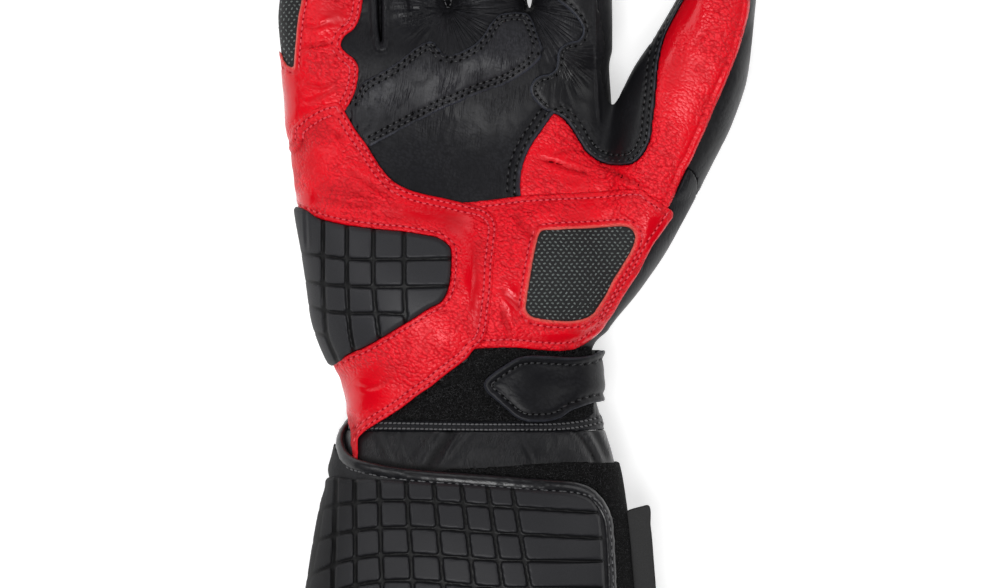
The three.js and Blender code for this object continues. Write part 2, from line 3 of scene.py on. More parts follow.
import bpy
import numpy as np
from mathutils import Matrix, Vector
from mathutils.bvhtree import BVHTree
from mathutils.kdtree import KDTree


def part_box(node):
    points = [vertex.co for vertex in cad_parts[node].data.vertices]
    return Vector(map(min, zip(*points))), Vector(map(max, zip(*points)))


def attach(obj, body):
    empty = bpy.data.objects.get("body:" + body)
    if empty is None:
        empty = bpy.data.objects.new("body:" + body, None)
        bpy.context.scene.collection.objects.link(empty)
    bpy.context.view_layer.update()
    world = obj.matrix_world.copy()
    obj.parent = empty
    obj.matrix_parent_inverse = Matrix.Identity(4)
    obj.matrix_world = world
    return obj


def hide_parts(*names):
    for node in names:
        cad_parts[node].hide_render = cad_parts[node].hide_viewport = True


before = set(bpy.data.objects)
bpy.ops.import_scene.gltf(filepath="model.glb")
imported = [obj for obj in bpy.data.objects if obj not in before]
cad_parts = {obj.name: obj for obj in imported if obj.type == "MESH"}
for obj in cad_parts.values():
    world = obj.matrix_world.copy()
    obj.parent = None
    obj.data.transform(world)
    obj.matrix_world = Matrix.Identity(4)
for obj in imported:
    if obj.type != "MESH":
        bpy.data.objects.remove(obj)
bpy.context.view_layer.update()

# Scale and place of the palm view
KNUCKLE_BREADTH = 107.6
KNUCKLE_PIXELS = 326
ORIGIN_X = 514.5
ORIGIN_Y = 222
SCALE = KNUCKLE_BREADTH / KNUCKLE_PIXELS  # one pixel of the palm view, in millimetres
MM = 0.001  # metres in a millimetre

# Fineness of the meshes
COARSE = 1.0
RUBBER_STEP = 0.44 * COARSE
FINE_STEP = 0.56 * COARSE
MIDDLE_STEP = 0.72 * COARSE
BACK_STEP = 1.2 * COARSE
LABEL_STEP = 0.3 * COARSE
HIDDEN_CELL = 3.0  # faces that nothing shows are merged into cells of this size
LINE_SPACING = 0.4  # between the points of a smooth line
CURVE_POINTS = 12  # of a smooth line between two of its pixels
STRAIGHT_POINTS = 8
COARSE_STRIDE = 4  # of the coarse grid that finds where a piece's matter is
COARSE_MARGIN = 1.1  # how far round that matter points are kept, in coarse steps
LIMIT_MARGIN = 2.5  # and how far past a piece's limits, in fine steps
GRID_ROOM = 3  # steps of a grid outside its box
TINY = 1e-9
NO_MATTER = 9.0  # field value well outside a piece
NODE_ROOM = 1.5  # between a node's box and what replaces the node

# Leather, thread and rubber
WALL = 1.6
THINNEST = 0.55  # a crease leaves at least this much of a piece
PITCH = 2.1  # from one stitch to the next
BLACK_PITCH = 2.3  # in black leather
# Length, width and height of stitches and of the dark rods of painted shade in needle holes
STITCH_SIZE = (1.4, 0.6, 0.5)
HOLE_SIZES = {"red": (1.05, 0.6, 0.2), "black": (1.3, 0.8, 0.24), "grey": (0.95, 0.6, 0.2)}
PIT_SLANT = math.radians(55)  # how far the pits of the black rows lean across the row
SEAM_DEPTH = 0.5  # of the furrow that a row of stitches pulls
SEAM_WIDTH = 0.6
OVERLAP = 1.2  # how far one piece reaches under another


def across(x):
    return (x - ORIGIN_X) * SCALE


def along(y):
    return (ORIGIN_Y - y) * SCALE


# Hand, wrist and cuff, one row for each section: y, left, right in pixels, then the
# heights of its back and front and how boxy it is (2 is an ellipse)
BODY = (
    (690, 308, 638, 0, 66, 2.3),
    (587, 318.5, 630, -0.5, 63.5, 2.3),
    (500, 332, 622, 0, 58.5, 2.3),
    (470, 335, 617, 1.5, 55, 2.3),
    (445, 340.5, 610, 3.5, 51.5, 2.25),
    (415, 353.5, 600, 5, 48.5, 2.25),
    (385, 348.5, 592.5, 4.5, 47.5, 2.25),
    (355, 333, 592, 2.5, 49, 2.3),
    (325, 322, 603.5, 0.5, 50.5, 2.3),
    (290, 316.3, 624.5, -0.5, 50.5, 2.35),
    (250, 310, 637.5, -1, 48, 2.4),
    (210, 303, 636, -1, 44.5, 2.45),
    (176, 300, 627, -1, 42.2, 2.5),
    (145, 293.5, 616, -1, 40, 2.55),
    (90, 288, 612, -0.5, 38.5, 2.6),
    (50, 284, 609.5, 1, 38, 2.6),
    (22, 285.5, 610, 2.5, 36.5, 2.5),
)
BODY_END = 10  # height in the palm view where only fingers go on
BODY_END_BLEND = 7

# The cuff's flap
FLAP = (
    (690, 306, 645, -4, 68.2, 2.3),
    (587, 316, 637, -4, 65.7, 2.3),
    (500, 331, 630, -3, 60.7, 2.3),
    (484, 334.8, 627, -2.5, 58.9, 2.3),
    (470, 332.4, 624, -2, 57.4, 2.3),
    (455, 336, 619.5, -1.5, 56, 2.3),
    (440, 340, 614, -1, 54.6, 2.3),
    (424, 349, 611, 0, 52, 2.3),
)

# Where panels are stretched smooth and coloured darker as painted shade: x, y, reach in x, reach in y
TIGHT_SHADED_PLACES = (
    (470, 268, 8, 36), (476, 306, 5, 22), (432, 214, 44, 9), (457, 228, 14, 14), (306, 199, 16, 9),
    (289, 95, 12, 38), (688, 12, 22, 32), (667, 48, 8, 25), (655, 235, 14, 28), (605, 333, 25, 12),
    (534, 240, 8, 10), (512, 300, 9, 22), (336, 18, 15, 12), (560, 338, 40, 5), (356, 396, 26, 26),
    (578, 84, 18, 30),
)
# The ring root is a smooth place of the palm's leather, also darkened as painted shade
RING_ROOT = (415, 22, 24, 26)  # a smooth place of the palm's leather, with the same columns
# Beside the index finger the leather is darkened as painted shade and made rougher
INDEX_SIDE = (606, 55, 6, 75)  # where leather turns down beside the index finger

# Corners that wrinkles run out of: between index and middle finger, between middle and ring
# finger, and at the inner corner of the web
INDEX_CROTCH = (528, 5)
RING_CROTCH = (447, 8)
WEB_CORNER = (556, 50)

# Swellings and hollows of the palm: x, y, rise, reach in x, reach in y
PALM_RELIEF = (
    (470, 165, -4.5, 62, 78),
    (578, 262, 4, 48, 62),
    (372, 275, 3, 60, 75),
    (450, 60, 2, 120, 32),
)

# How the fingers curl up: height at their roots, rise, start, reach and power of the curve
FINGER_REST = 20.5
FINGER_CURL = 27
FINGER_START = 20
FINGER_REACH = 262
CURL_POWER = 1.7


def finger_height(y):
    """Height of a finger's middle line, which curls up towards the tip"""
    return FINGER_REST + FINGER_CURL * max(0, (FINGER_START - y) / FINGER_REACH) ** CURL_POWER


def finger(*rows):
    """Rows of x, y, breadth and depth, with the height of the middle line put in"""
    return tuple((x, y, finger_height(y), breadth, depth) for x, y, breadth, depth in rows)


# Digits: x, y of the middle line in pixels, its height, breadth and depth
DIGITS = {
    "little": finger(
        (333, 50, 28, 27), (328.3, 20, 31, 27), (327.5, -12, 30.5, 27), (321, -70, 25.8, 25),
        (313, -150, 22, 21),
    ),
    "ring": finger(
        (419, 40, 19.2, 27), (416.8, -12, 20.5, 26.5), (411, -75, 24, 25), (404, -190, 22, 21.5),
    ),
    "middle": finger(
        (487.8, 40, 25.4, 28), (488.3, -12, 26, 27), (491, -85, 25, 25.5), (493, -212, 22.5, 22),
    ),
    "index": finger(
        (571.6, 40, 25.9, 28.5), (572.8, -12, 26.9, 27.5), (574, -75, 25.5, 26), (580, -185, 22.5, 22),
    ),
    "thumb": (
        (596, 322, 24, 9, 14),
        (615, 272, 26, 21, 29),
        (643, 208, 27, 28.5, 34),
        (664, 152, 28, 33, 34),
        (681.5, 105, 29, 36, 33),
        (701, 62, 31, 32.5, 31),
        (712.8, 28, 33, 27.9, 29),
        (720, 0, 34.5, 23.8, 27),
        (724, -28, 36, 21.5, 24),
    ),
}
DIGIT_SQUARE = 2.3  # how boxy their sections are
FINGER_BLEND = 4.5  # how softly the fingers run into the hand
THUMB_BLEND = 6.5
NEIGHBOUR_BLEND = 1.2  # and into each other

# Heights of the seam between palm side and back
SIDE_SEAM = ((720, 20), (560, 20), (420, 21), (300, 17), (150, 15), (60, 16)) + tuple(
    (y, finger_height(y)) for y in (20, -55, -130, -205, -280)
)
THUMB_SEAM = ((340, 24),) + tuple((row[1], row[2]) for row in DIGITS["thumb"]) + ((-120, 40),)

# Heights in the palm view where pieces end
WRIST_LINE = 430
FINGER_LINE = 10  # between the hand's back and the fingers' backs
FRONT_LINE = -17  # where the leather of the palm ends on the fingers
MOUTH = 690
FAR_LEFT = 240  # past the glove's left side


# Smooth curves
def inner_slopes(slopes, gaps):
    """Slopes at a curve's inner points, from those between its points and the gaps there"""
    return (slopes[1:] * gaps[:-1] + slopes[:-1] * gaps[1:]) / (gaps[1:] + gaps[:-1])


def cubic(t, gap, start, start_slope, end, end_slope):
    """Places on the curve from one point to the next, for t from 0 to 1"""
    return (
        (2 * t**3 - 3 * t**2 + 1) * start
        + (t**3 - 2 * t**2 + t) * gap * start_slope
        + (3 * t**2 - 2 * t**3) * end
        + (t**3 - t**2) * gap * end_slope
    )


class Line:
    """A smooth line through pixels of the palm view. A pixel given twice is a sharp corner."""

    def __init__(self, pixels, closed=False):
        points = [np.array((across(x), along(y))) for x, y in pixels]
        self.closed = closed
        if closed:
            points.append(points[0])
        runs = [[points[0]]]
        for before, point in zip(points, points[1:]):
            if np.allclose(before, point):
                runs.append([point])
            else:
                runs[-1].append(point)
        whole = closed and len(runs) == 1
        dense = [np.array([points[0]])]
        for run in runs:
            dense.append(self.curve(np.array(run), whole))
        dense = np.concatenate(dense)
        steps = np.linalg.norm(np.diff(dense, axis=0), axis=1)
        place = np.concatenate(([0], np.cumsum(steps)))
        self.length = place[-1]
        count = max(4, round(self.length / LINE_SPACING))
        self.place = np.linspace(0, self.length, count + 1)
        self.spacing = self.length / count
        self.points = np.stack([np.interp(self.place, place, dense[:, i]) for i in range(2)], axis=1)
        if closed:
            self.place = self.place[:-1]
            self.points = self.points[:-1]
            ahead = np.roll(self.points, -1, axis=0)
            behind = np.roll(self.points, 1, axis=0)
        else:
            ahead = np.concatenate((self.points[1:], self.points[-1:]))
            behind = np.concatenate((self.points[:1], self.points[:-1]))
        tangents = ahead - behind
        self.tangents = tangents / np.maximum(np.linalg.norm(tangents, axis=1), TINY)[:, None]
        turn = 1
        if closed:
            x, y = self.points.T
            turn = np.sign(np.sum(x * np.roll(y, -1) - np.roll(x, -1) * y))
        self.normals = np.stack((self.tangents[:, 1], -self.tangents[:, 0]), axis=1) * turn

    @staticmethod
    def curve(points, closed):
        """Curve through the points, without the first one"""
        if len(points) < 3:
            return np.linspace(points[0], points[-1], STRAIGHT_POINTS + 1)[1:]
        if closed:
            ring = np.concatenate((points[-2:-1], points, points[1:2]))
        else:
            ring = np.concatenate((2 * points[:1] - points[1:2], points, 2 * points[-1:] - points[-2:-1]))
        gaps = np.maximum(np.linalg.norm(np.diff(ring, axis=0), axis=1), TINY)[:, None]
        slopes = inner_slopes(np.diff(ring, axis=0) / gaps, gaps)
        t = np.linspace(0, 1, CURVE_POINTS + 1)[1:, None]
        parts = [
            cubic(t, gaps[i + 1], points[i], slopes[i], points[i + 1], slopes[i + 1])
            for i in range(len(points) - 1)
        ]
        return np.concatenate(parts)

    def measure(self, x, y):
        """Distance of places from the line, negative inside or to its left, and their place along it"""
        tree = KDTree(len(self.points))
        for i, point in enumerate(self.points):
            tree.insert((point[0], point[1], 0), i)
        tree.balance()
        flat = np.stack((x.ravel(), y.ravel()), axis=1)
        nearest = np.fromiter((tree.find((px, py, 0))[1] for px, py in flat.tolist()), int, len(flat))
        away = flat - self.points[nearest]
        ahead = np.sum(away * self.tangents[nearest], axis=1)
        side = np.sum(away * self.normals[nearest], axis=1)
        ahead = np.clip(ahead, -self.spacing / 2, self.spacing / 2)
        distance = np.sqrt(np.maximum(np.sum(away**2, axis=1) - ahead**2, 0))
        return (
            (np.where(side < 0, -1, 1) * distance).reshape(x.shape),
            (self.place[nearest] + ahead).reshape(x.shape),
        )

    def at(self, place, offset):
        """Place, direction and normal at a length along the line, moved sideways"""
        if self.closed:
            place = place % self.length
        index = np.clip(np.round(place / self.spacing).astype(int), 0, len(self.points) - 1)
        points = self.points[index] + self.tangents[index] * (place - self.place[index])[:, None]
        return points + self.normals[index] * offset, self.tangents[index], self.normals[index]


# Edges of the sewn pieces
SCALLOP = (
    (371, -40), (366, -18), (363, 0), (359, 20), (354, 29), (344, 37.5), (341, 45.5), (346, 52.6),
    (353, 58), (358, 65), (358, 80), (354.5, 94), (350, 103), (345, 112),
)
HEEL_TOP = (
    (289.6, 139), (291, 128), (299, 119), (308, 112.5), (320, 106), (329, 103), (338, 102.5), (345, 112),
)
HEEL_PALM_EDGE = (
    (345, 112), (357, 132), (366, 144), (374, 157), (382, 169), (393, 181), (407, 189), (423, 194),
    (442, 198), (461, 202.5), (488.5, 211), (495, 218), (497.7, 227), (496.6, 243), (494, 265),
    (493, 287), (490.6, 308.5), (488.5, 325), (485, 337), (480, 345), (474.5, 349), (467, 358),
    (457, 366), (445, 375), (430, 387), (418, 395), (404, 406), (389, 416), (376, 424), (364, 432),
    (358.7, 438), (358.2, 445),
)
HEEL_TAIL = (
    (358.7, 453), (358, 458), (356.5, 463), (356.5, 463), (354, 463), (354, 463), (352, 452), (350.3, 442),
    (349.8, 434), (349.2, 428), (347, 425), (342, 424.5),
)
HEEL_WINDOW_EDGE = (
    (298, 210), (312, 216), (331, 222), (347.5, 225.5), (366, 228), (382, 230), (401, 231.5),
    (423, 235), (440, 239), (446, 243), (450.5, 248), (451.6, 256), (451.4, 267), (450.5, 278),
    (449, 287), (446, 295), (441, 302), (429, 308.5), (416, 317), (399.5, 327), (382, 337.7),
    (366, 346.4), (351, 353), (340, 358.4), (325, 366),
)
PALM_BLACK_EDGE = (
    (553, 113), (541, 130.5), (531.5, 144), (524.6, 158), (520.6, 172), (519.5, 183), (519.5, 195),
)
GRIP_TOP = (
    (348, 100), (352, 97), (362, 83), (372, 77), (385, 70), (398, 62), (409, 53), (420, 45),
    (427, 42), (434, 42), (439, 48), (444, 53.4), (453, 54), (464.5, 50), (476, 43), (484, 34),
    (490, 24), (498, 15), (510, 12), (523, 12), (528, 13.5), (532, 18.5), (537, 31), (541, 43),
    (543.8, 51),
)
GRIP_BOTTOM = (
    (542, 57), (537, 63), (529, 70.5), (518, 78), (505.5, 85), (492, 90), (477, 95), (461, 102),
    (444.5, 108.5), (426, 118), (410, 126), (397, 133), (380, 142), (369, 147.5),
)
GUSSET_PALM_EDGE = (
    (556.5, 0), (568, 9), (576, 17), (580.5, 23.5), (583, 29.6), (581.5, 36), (578, 40), (569, 42),
    (562, 46), (558, 52), (557, 60), (555.5, 69), (551, 73), (541, 75.5), (533, 81), (530, 89),
    (531, 95), (535.5, 101.5), (545, 110), (553.7, 113),
)
GUSSET_THUMB_EDGE = (
    (553.7, 113), (564, 118.6), (572, 128), (579.5, 140), (587, 151), (598.6, 160), (610, 164),
    (621.6, 165), (633, 162.6), (642.6, 153), (648.4, 141.6), (651, 124), (653, 107), (655, 86),
    (657, 65), (660, 50), (663.5, 38), (672.5, 19), (683, 0), (693.5, -18),
)
THUMB_OUTER_EDGE = (
    (712, -40), (733, -38), (745, -24), (750, -8), (750, 0), (749, 13), (745, 29), (738.6, 51),
    (731, 71), (722, 92), (712, 115), (706.7, 127.6), (700, 142), (690.5, 163), (686, 171),
    (678.6, 187), (672, 202), (669, 208),
)
THENAR_TOP = (
    (461, 202.5), (490, 200), (520.6, 196), (551, 194), (592, 192), (618, 190), (633, 189),
    (642, 190), (649, 196), (660, 203), (669, 209),
)
THENAR_SIDE = (
    (669, 209), (673, 212.5), (673, 216), (668.6, 223), (661, 234), (653, 245), (645.6, 259),
    (638, 274), (630, 286), (623, 297), (614, 313), (607, 323), (602, 330.5), (595, 337),
    (584, 344.6), (574, 349.6),
)
THENAR_BOTTOM = ((574, 349.6), (561, 351), (541, 350), (515, 347.5), (481, 348.3), (470, 349))
THENAR_WINDOW = (
    (541, 232), (556, 230.4), (586, 229), (609, 227.4), (623, 227), (630, 229), (634, 235),
    (633, 244), (628, 255), (620, 268), (612, 281), (605, 295), (598, 306), (592, 314), (584, 318),
    (573, 320.3), (559, 320.3), (541, 318.4), (529.5, 314.6), (526.4, 310), (527, 298.6),
    (529.5, 282), (533.4, 259), (536.6, 244),
)
LITTLE_PATCH_EDGE = (
    (300, -26), (301, -18), (301, 0), (297.7, 17), (296.3, 29), (295, 43), (293.7, 57), (293, 67),
    (293, 67), (288, 65), (284.3, 61), (280.5, 52), (274, 44),
)
SLIT = (
    (376.6, -60), (376.6, -20), (377, 2), (377.6, 20), (378.8, 34), (380.4, 43), (381.2, 46), (382, 43),
    (382.2, 34), (382, 20), (381.8, 2), (381.8, -20), (381.8, -60),
)
STRAP_TIP = (
    (603.5, 350), (592, 354.7), (575, 357), (552, 356), (529, 355.3), (517, 357.6), (506, 364),
    (492, 373.6), (486, 379), (484, 384), (487.5, 392), (494, 397.7), (506, 408.5), (516, 416.8),
    (525, 420.5), (534.6, 421.3), (557.6, 418.4), (563, 416), (569, 411.5), (580.5, 407),
    (592, 403.5), (602, 402),
)
CUFF_PAD_TOP = (
    (436, 469), (452, 467.2), (484, 465.4), (517, 463.6), (540, 462), (563, 461), (588, 461),
    (612, 461.6), (640, 461),
)
FLAP_EDGE = (
    (349, 422), (342, 430), (338.5, 438), (338.3, 445), (341, 451), (347, 455.5), (356, 459),
    (370.5, 462.6), (391, 466.4), (420, 469.6), (462.5, 472.8), (494, 475), (520, 477.2), (549, 479.5),
    (568, 481), (582, 483.8), (592, 488), (601, 496.5), (607.5, 505.5), (611.7, 517), (613.5, 531),
    (614.7, 555), (616, 587), (619, 640), (622, 690),
)
GRID_EDGE = (
    (300, 486), (320, 483), (334, 480), (356, 477.6), (379, 477.4), (401, 478.4), (431, 480.4),
    (462.5, 482.2), (494, 484.4), (520, 486.4), (549, 488.6), (568, 490.2), (579, 492.4),
    (589, 496.8), (595.6, 504), (599.4, 515), (601.3, 531), (603, 555), (604.7, 587), (606, 640),
)

# Whole outlines: the edges above, closed where other pieces cover them
OUTLINES = {
    "side_panel": (
        ((FAR_LEFT, -62), (330, -62), (362, -57)) + SCALLOP
        + ((345, 112), (340, 150), (340, 150), (FAR_LEFT, 150))
    ),
    "little_finger_patch": ((FAR_LEFT, -34), (285, -33)) + LITTLE_PATCH_EDGE + ((FAR_LEFT, 40),),
    "heel_panel": (
        ((FAR_LEFT, 148), (289.6, 139), (289.6, 139)) + HEEL_TOP[1:] + HEEL_PALM_EDGE + HEEL_TAIL
        + ((FAR_LEFT, 424.5), (FAR_LEFT, 424.5))
    ),
    "heel_window": (
        ((FAR_LEFT, 204), (FAR_LEFT, 204)) + HEEL_WINDOW_EDGE + ((FAR_LEFT, 372), (FAR_LEFT, 372))
    ),
    "palm_grip_patch": GRIP_TOP + GRIP_BOTTOM + ((345, 125), (340, 110)),
    "thumb_gusset": (
        GUSSET_PALM_EDGE + GUSSET_THUMB_EDGE + ((660, -10), (612, 60), (606, 20), (604, -8), (580, -14))
    ),
    "thumb_panel": (
        ((553, 113),) + GUSSET_THUMB_EDGE + THUMB_OUTER_EDGE + ((640, 225), (519, 230), (519, 230))
        + PALM_BLACK_EDGE[::-1]
    ),
    "thenar_panel": THENAR_TOP + THENAR_SIDE + THENAR_BOTTOM + ((461, 340), (455, 260)),
    "thenar_window": THENAR_WINDOW,
    "wrist_loop_pad": (
        (362, 421), (400, 398), (440, 370), (466, 345), (466, 345), (574, 345), (592, 346), (592, 346),
        (594, 414), (594, 414), (587, 417.5), (560, 420.5), (500, 421), (420, 420.5), (362, 421), (362, 421),
    ),
    "strap_front": STRAP_TIP + ((602, 402), (700, 401), (700, 401), (700, 350), (700, 350), (603.5, 350)),
    "cuff_loop_pad": CUFF_PAD_TOP + ((700, 457), (700, 457), (700, 690), (700, 690), (520, 690), (520, 500)),
    "cuff_flap": (
        ((FAR_LEFT, 420), (FAR_LEFT, 420)) + FLAP_EDGE + ((622, 690), (FAR_LEFT, 690), (FAR_LEFT, 690))
    ),
    "cuff_flap_grid": ((250, 487), (250, 487)) + GRID_EDGE + ((606, 640), (250, 640), (250, 640)),
    "cuff_label": (
        (629, 510), (643, 506), (647, 505), (651, 527), (654, 560), (657, 600), (659, 640), (641, 642),
    ),
    "thumb_region": (
        (613, 104), (684, 168), (690, 171), (695, 177), (697.3, 186), (696.5, 196), (696.5, 196),
        (830, 196), (830, 196), (830, -120), (830, -120), (613, -120), (613, -120), (613, 104),
    ),
}
lines = {}


def line_of(name_or_pixels, closed=False):
    """The smooth line of a named outline or of some pixels, made once"""
    if name_or_pixels not in lines:
        named = isinstance(name_or_pixels, str)
        lines[name_or_pixels] = Line(OUTLINES[name_or_pixels] if named else name_or_pixels, named or closed)
    return lines[name_or_pixels]


# Smooth mixing of fields
def smooth_min(a, b, blend):
    share = np.clip(0.5 + 0.5 * (b - a) / blend, 0, 1)
    return b + (a - b) * share - blend * share * (1 - share)


def smooth_max(a, b, blend):
    return -smooth_min(-a, -b, blend)


def step_between(low, high, value):
    share = np.clip((value - low) / (high - low), 0, 1)
    return share * share * (3 - 2 * share)


def bump_at(value, width):
    return np.exp(-((value / width) ** 2))


def noise(x, y, size, seed):
    """Smooth noise from -1 to 1 with features of that size"""
    lattice = np.random.default_rng(seed).uniform(-1, 1, (64, 64))
    u = x / size + 1000
    v = y / size + 1000
    i = np.floor(u).astype(int)
    j = np.floor(v).astype(int)
    u = u - i
    v = v - j
    u = u * u * u * (u * (u * 6 - 15) + 10)
    v = v * v * v * (v * (v * 6 - 15) + 10)
    corners = [[lattice[(i + di) % 64, (j + dj) % 64] for dj in (0, 1)] for di in (0, 1)]
    low = corners[0][0] * (1 - u) + corners[1][0] * u
    high = corners[0][1] * (1 - u) + corners[1][1] * u
    return low * (1 - v) + high * v


def ridges(x, y, size, seed):
    """Sharp furrows: 0 nearly everywhere, up to 1 along winding lines"""
    return np.clip(1 - 3.2 * np.abs(noise(x, y, size, seed)), 0, 1) ** 1.5


# Grids
class Grid:
    """Points on an even grid round a box, with maps of their columns"""

    def __init__(self, low, high, step):
        self.step = step
        self.low = np.array(low) - GRID_ROOM * step
        counts = np.ceil((np.array(high) + GRID_ROOM * step - self.low) / step).astype(int) + 1
        self.shape = tuple(counts)
        self.axes = [self.low[i] + step * np.arange(counts[i]) for i in range(3)]
        self.x, self.y = np.meshgrid(self.axes[0], self.axes[1], indexing="ij")

    def near(self, skin, low, high, limits):
        """The points close to the space between two offsets of the skin and inside the limits"""
        stride = COARSE_STRIDE
        coarse = [axis[::stride] for axis in self.axes]
        x, y, z = np.meshgrid(*coarse, indexing="ij")
        value = skin(x.ravel(), y.ravel(), z.ravel()).reshape(x.shape)
        margin = COARSE_MARGIN * stride * self.step
        kept = (value > low - margin) & (value < high + margin)
        nearest = [
            np.minimum(np.rint(np.arange(count) / stride).astype(int), len(axis) - 1)
            for count, axis in zip(self.shape, coarse)
        ]
        kept = kept[np.ix_(*nearest)] & (limits < LIMIT_MARGIN * self.step + 1)[:, :, None]
        return np.nonzero(kept)

    def places(self, index):
        return tuple(self.axes[i][index[i]] for i in range(3))


def column_values(grid, values, points):
    """A map's values at points, straight between its columns"""
    u = np.clip((points[:, 0] - grid.low[0]) / grid.step, 0, grid.shape[0] - 1.001)
    v = np.clip((points[:, 1] - grid.low[1]) / grid.step, 0, grid.shape[1] - 1.001)
    i = u.astype(int)
    j = v.astype(int)
    u = u - i
    v = v - j
    low = values[i, j] * (1 - u) + values[i + 1, j] * u
    high = values[i, j + 1] * (1 - u) + values[i + 1, j + 1] * u
    return low * (1 - v) + high * v


# The slit between little and ring finger
SLIT_FLOOR = 26  # how deep it goes
SLIT_MIDDLE = 380.5
SLIT_BLEND = 1.1
WEB_REACH = 9  # how far the web between the two fingers goes on past the hand
WEB_HEIGHTS = (14, 22)
WEB_SIDES = (10.5, 7)
SLIT_GRID = Grid((-66, 40, 0), (-24, 120, 0.1), 0.4)
SLIT_MAP = Line(SLIT, True).measure(SLIT_GRID.x, SLIT_GRID.y)[0]


# Skins: signed distance from the hand's base leather and from the flap's inner face
def curve_through(rows, step=0.5):
    """Rows of y and values, as values on an even grid of y"""
    rows = np.array(sorted(rows), float)
    y = rows[:, 0]
    values = rows[:, 1:]
    gaps = np.diff(y)[:, None]
    between = np.diff(values, axis=0) / gaps
    slopes = np.concatenate((between[:1], inner_slopes(between, gaps), between[-1:]))
    grid = np.arange(y[0], y[-1] + step, step)
    at = np.clip(np.searchsorted(y, grid) - 1, 0, len(y) - 2)
    gap = gaps[at]
    t = np.clip((grid - y[at])[:, None] / gap, 0, 1)
    return grid, cubic(t, gap, values[at], slopes[at], values[at + 1], slopes[at + 1])


def look_up(table, y):
    """Values of a table at places, straight between its grid's"""
    grid, values = table
    at = np.clip((y - grid[0]) / (grid[1] - grid[0]), 0, len(grid) - 1.001)
    index = at.astype(int)
    share = (at - index)[:, None]
    return (values[index] * (1 - share) + values[index + 1] * share).T


def body_table(rows):
    return curve_through(
        [
            (
                along(y),
                (across(left) + across(right)) / 2,
                (across(right) - across(left)) / 2,
                (back + front) / 2,
                (front - back) / 2,
                square,
            )
            for y, left, right, back, front, square in rows
        ]
    )


def relief(x, y):
    rise = np.zeros_like(x)
    for bump_x, bump_y, height, reach_x, reach_y in PALM_RELIEF:
        dx = (x - across(bump_x)) / (reach_x * SCALE)
        dy = (y - along(bump_y)) / (reach_y * SCALE)
        rise += height * np.exp(-dx * dx - dy * dy)
    return rise


def section_distance(u, w, half_x, half_z, square):
    """Distance from a rounded box's outline, and size against it. U and w are 1 at its sides."""
    u = np.abs(u) + 1e-6
    w = np.abs(w) + 1e-6
    size = (u**square + w**square) ** (1 / square)
    slope = np.hypot((u / size) ** (square - 1) / half_x, (w / size) ** (square - 1) / half_z)
    return (size - 1) / slope, size


BODY_TABLE = body_table(BODY)
FLAP_TABLE = body_table(FLAP)


def body_distance(table, x, y, z, rise):
    middle_x, half_x, middle_z, half_z, square = look_up(table, y)
    up = z - middle_z
    half_up = np.where(up > 0, half_z + rise, half_z)
    return section_distance((x - middle_x) / half_x, up / half_up, half_x, half_up, square)[0]


def digit_table(rows):
    grid, values = curve_through(
        [(along(y), across(x), z, breadth / 2, depth / 2) for x, y, z, breadth, depth in rows]
    )
    slope = np.gradient(values[:, :2], grid, axis=0)
    return grid, np.concatenate((values, slope), axis=1)


DIGIT_TABLES = {name: digit_table(rows) for name, rows in DIGITS.items()}
DIGIT_ROOM = 9  # a digit's field is worked out this far past its ends
DIGIT_SIDE_ROOM = 13
DIGIT_SPREAD = 1.25
REST_BLEND = 1.5  # how softly the leather turns into the flat that the glove lies on
FAR_AWAY = 30.0  # field value where a digit is too far to matter
TIP_LENGTH = 1  # of a digit's rounded ends, in half breadths
ROOT_LENGTH = 0.6
LEAST_SLOPE = 0.02


def digit_distance(name, x, y, z):
    """Distance from a digit, from its section at the nearest place on its middle line"""
    table = DIGIT_TABLES[name]
    low, high = table[0][0], table[0][-1]
    s = np.clip(y, low, high)
    for _ in range(2):
        middle_x, middle_z, half_x, half_z, slope_x, slope_z = look_up(table, s)
        size = np.sqrt(1 + slope_x**2 + slope_z**2)
        ahead = ((x - middle_x) * slope_x + (y - s) + (z - middle_z) * slope_z) / size
        s = np.clip(s + ahead / size, low, high)
    middle_x, middle_z, half_x, half_z, slope_x, slope_z = look_up(table, s)
    size = np.sqrt(1 + slope_x**2 + slope_z**2)
    flat = np.sqrt(1 + slope_x**2)
    dx = x - middle_x
    dy = y - s
    dz = z - middle_z
    ahead = (dx * slope_x + dy + dz * slope_z) / size
    side = (dx - dy * slope_x) / flat
    up = (dz * (1 + slope_x**2) - slope_z * (dx * slope_x + dy)) / (flat * size)
    distance, section = section_distance(side / half_x, up / half_z, half_x, half_z, DIGIT_SQUARE)
    reach = half_x * np.where(s > (low + high) / 2, TIP_LENGTH, ROOT_LENGTH)
    past = np.where((s <= low) | (s >= high), ahead / reach, 0)
    whole = np.hypot(section, past)
    steepness = section / whole * (section - 1) / np.where(np.abs(distance) < 1e-4, 1e-4, distance)
    slope = np.hypot(steepness, past / whole / reach)
    return np.where(past == 0, distance, (whole - 1) / np.maximum(slope, LEAST_SLOPE))


def seam_height(rows, y):
    rows = sorted((along(row_y), z) for row_y, z in rows)
    return np.interp(y, [row[0] for row in rows], [row[1] for row in rows])


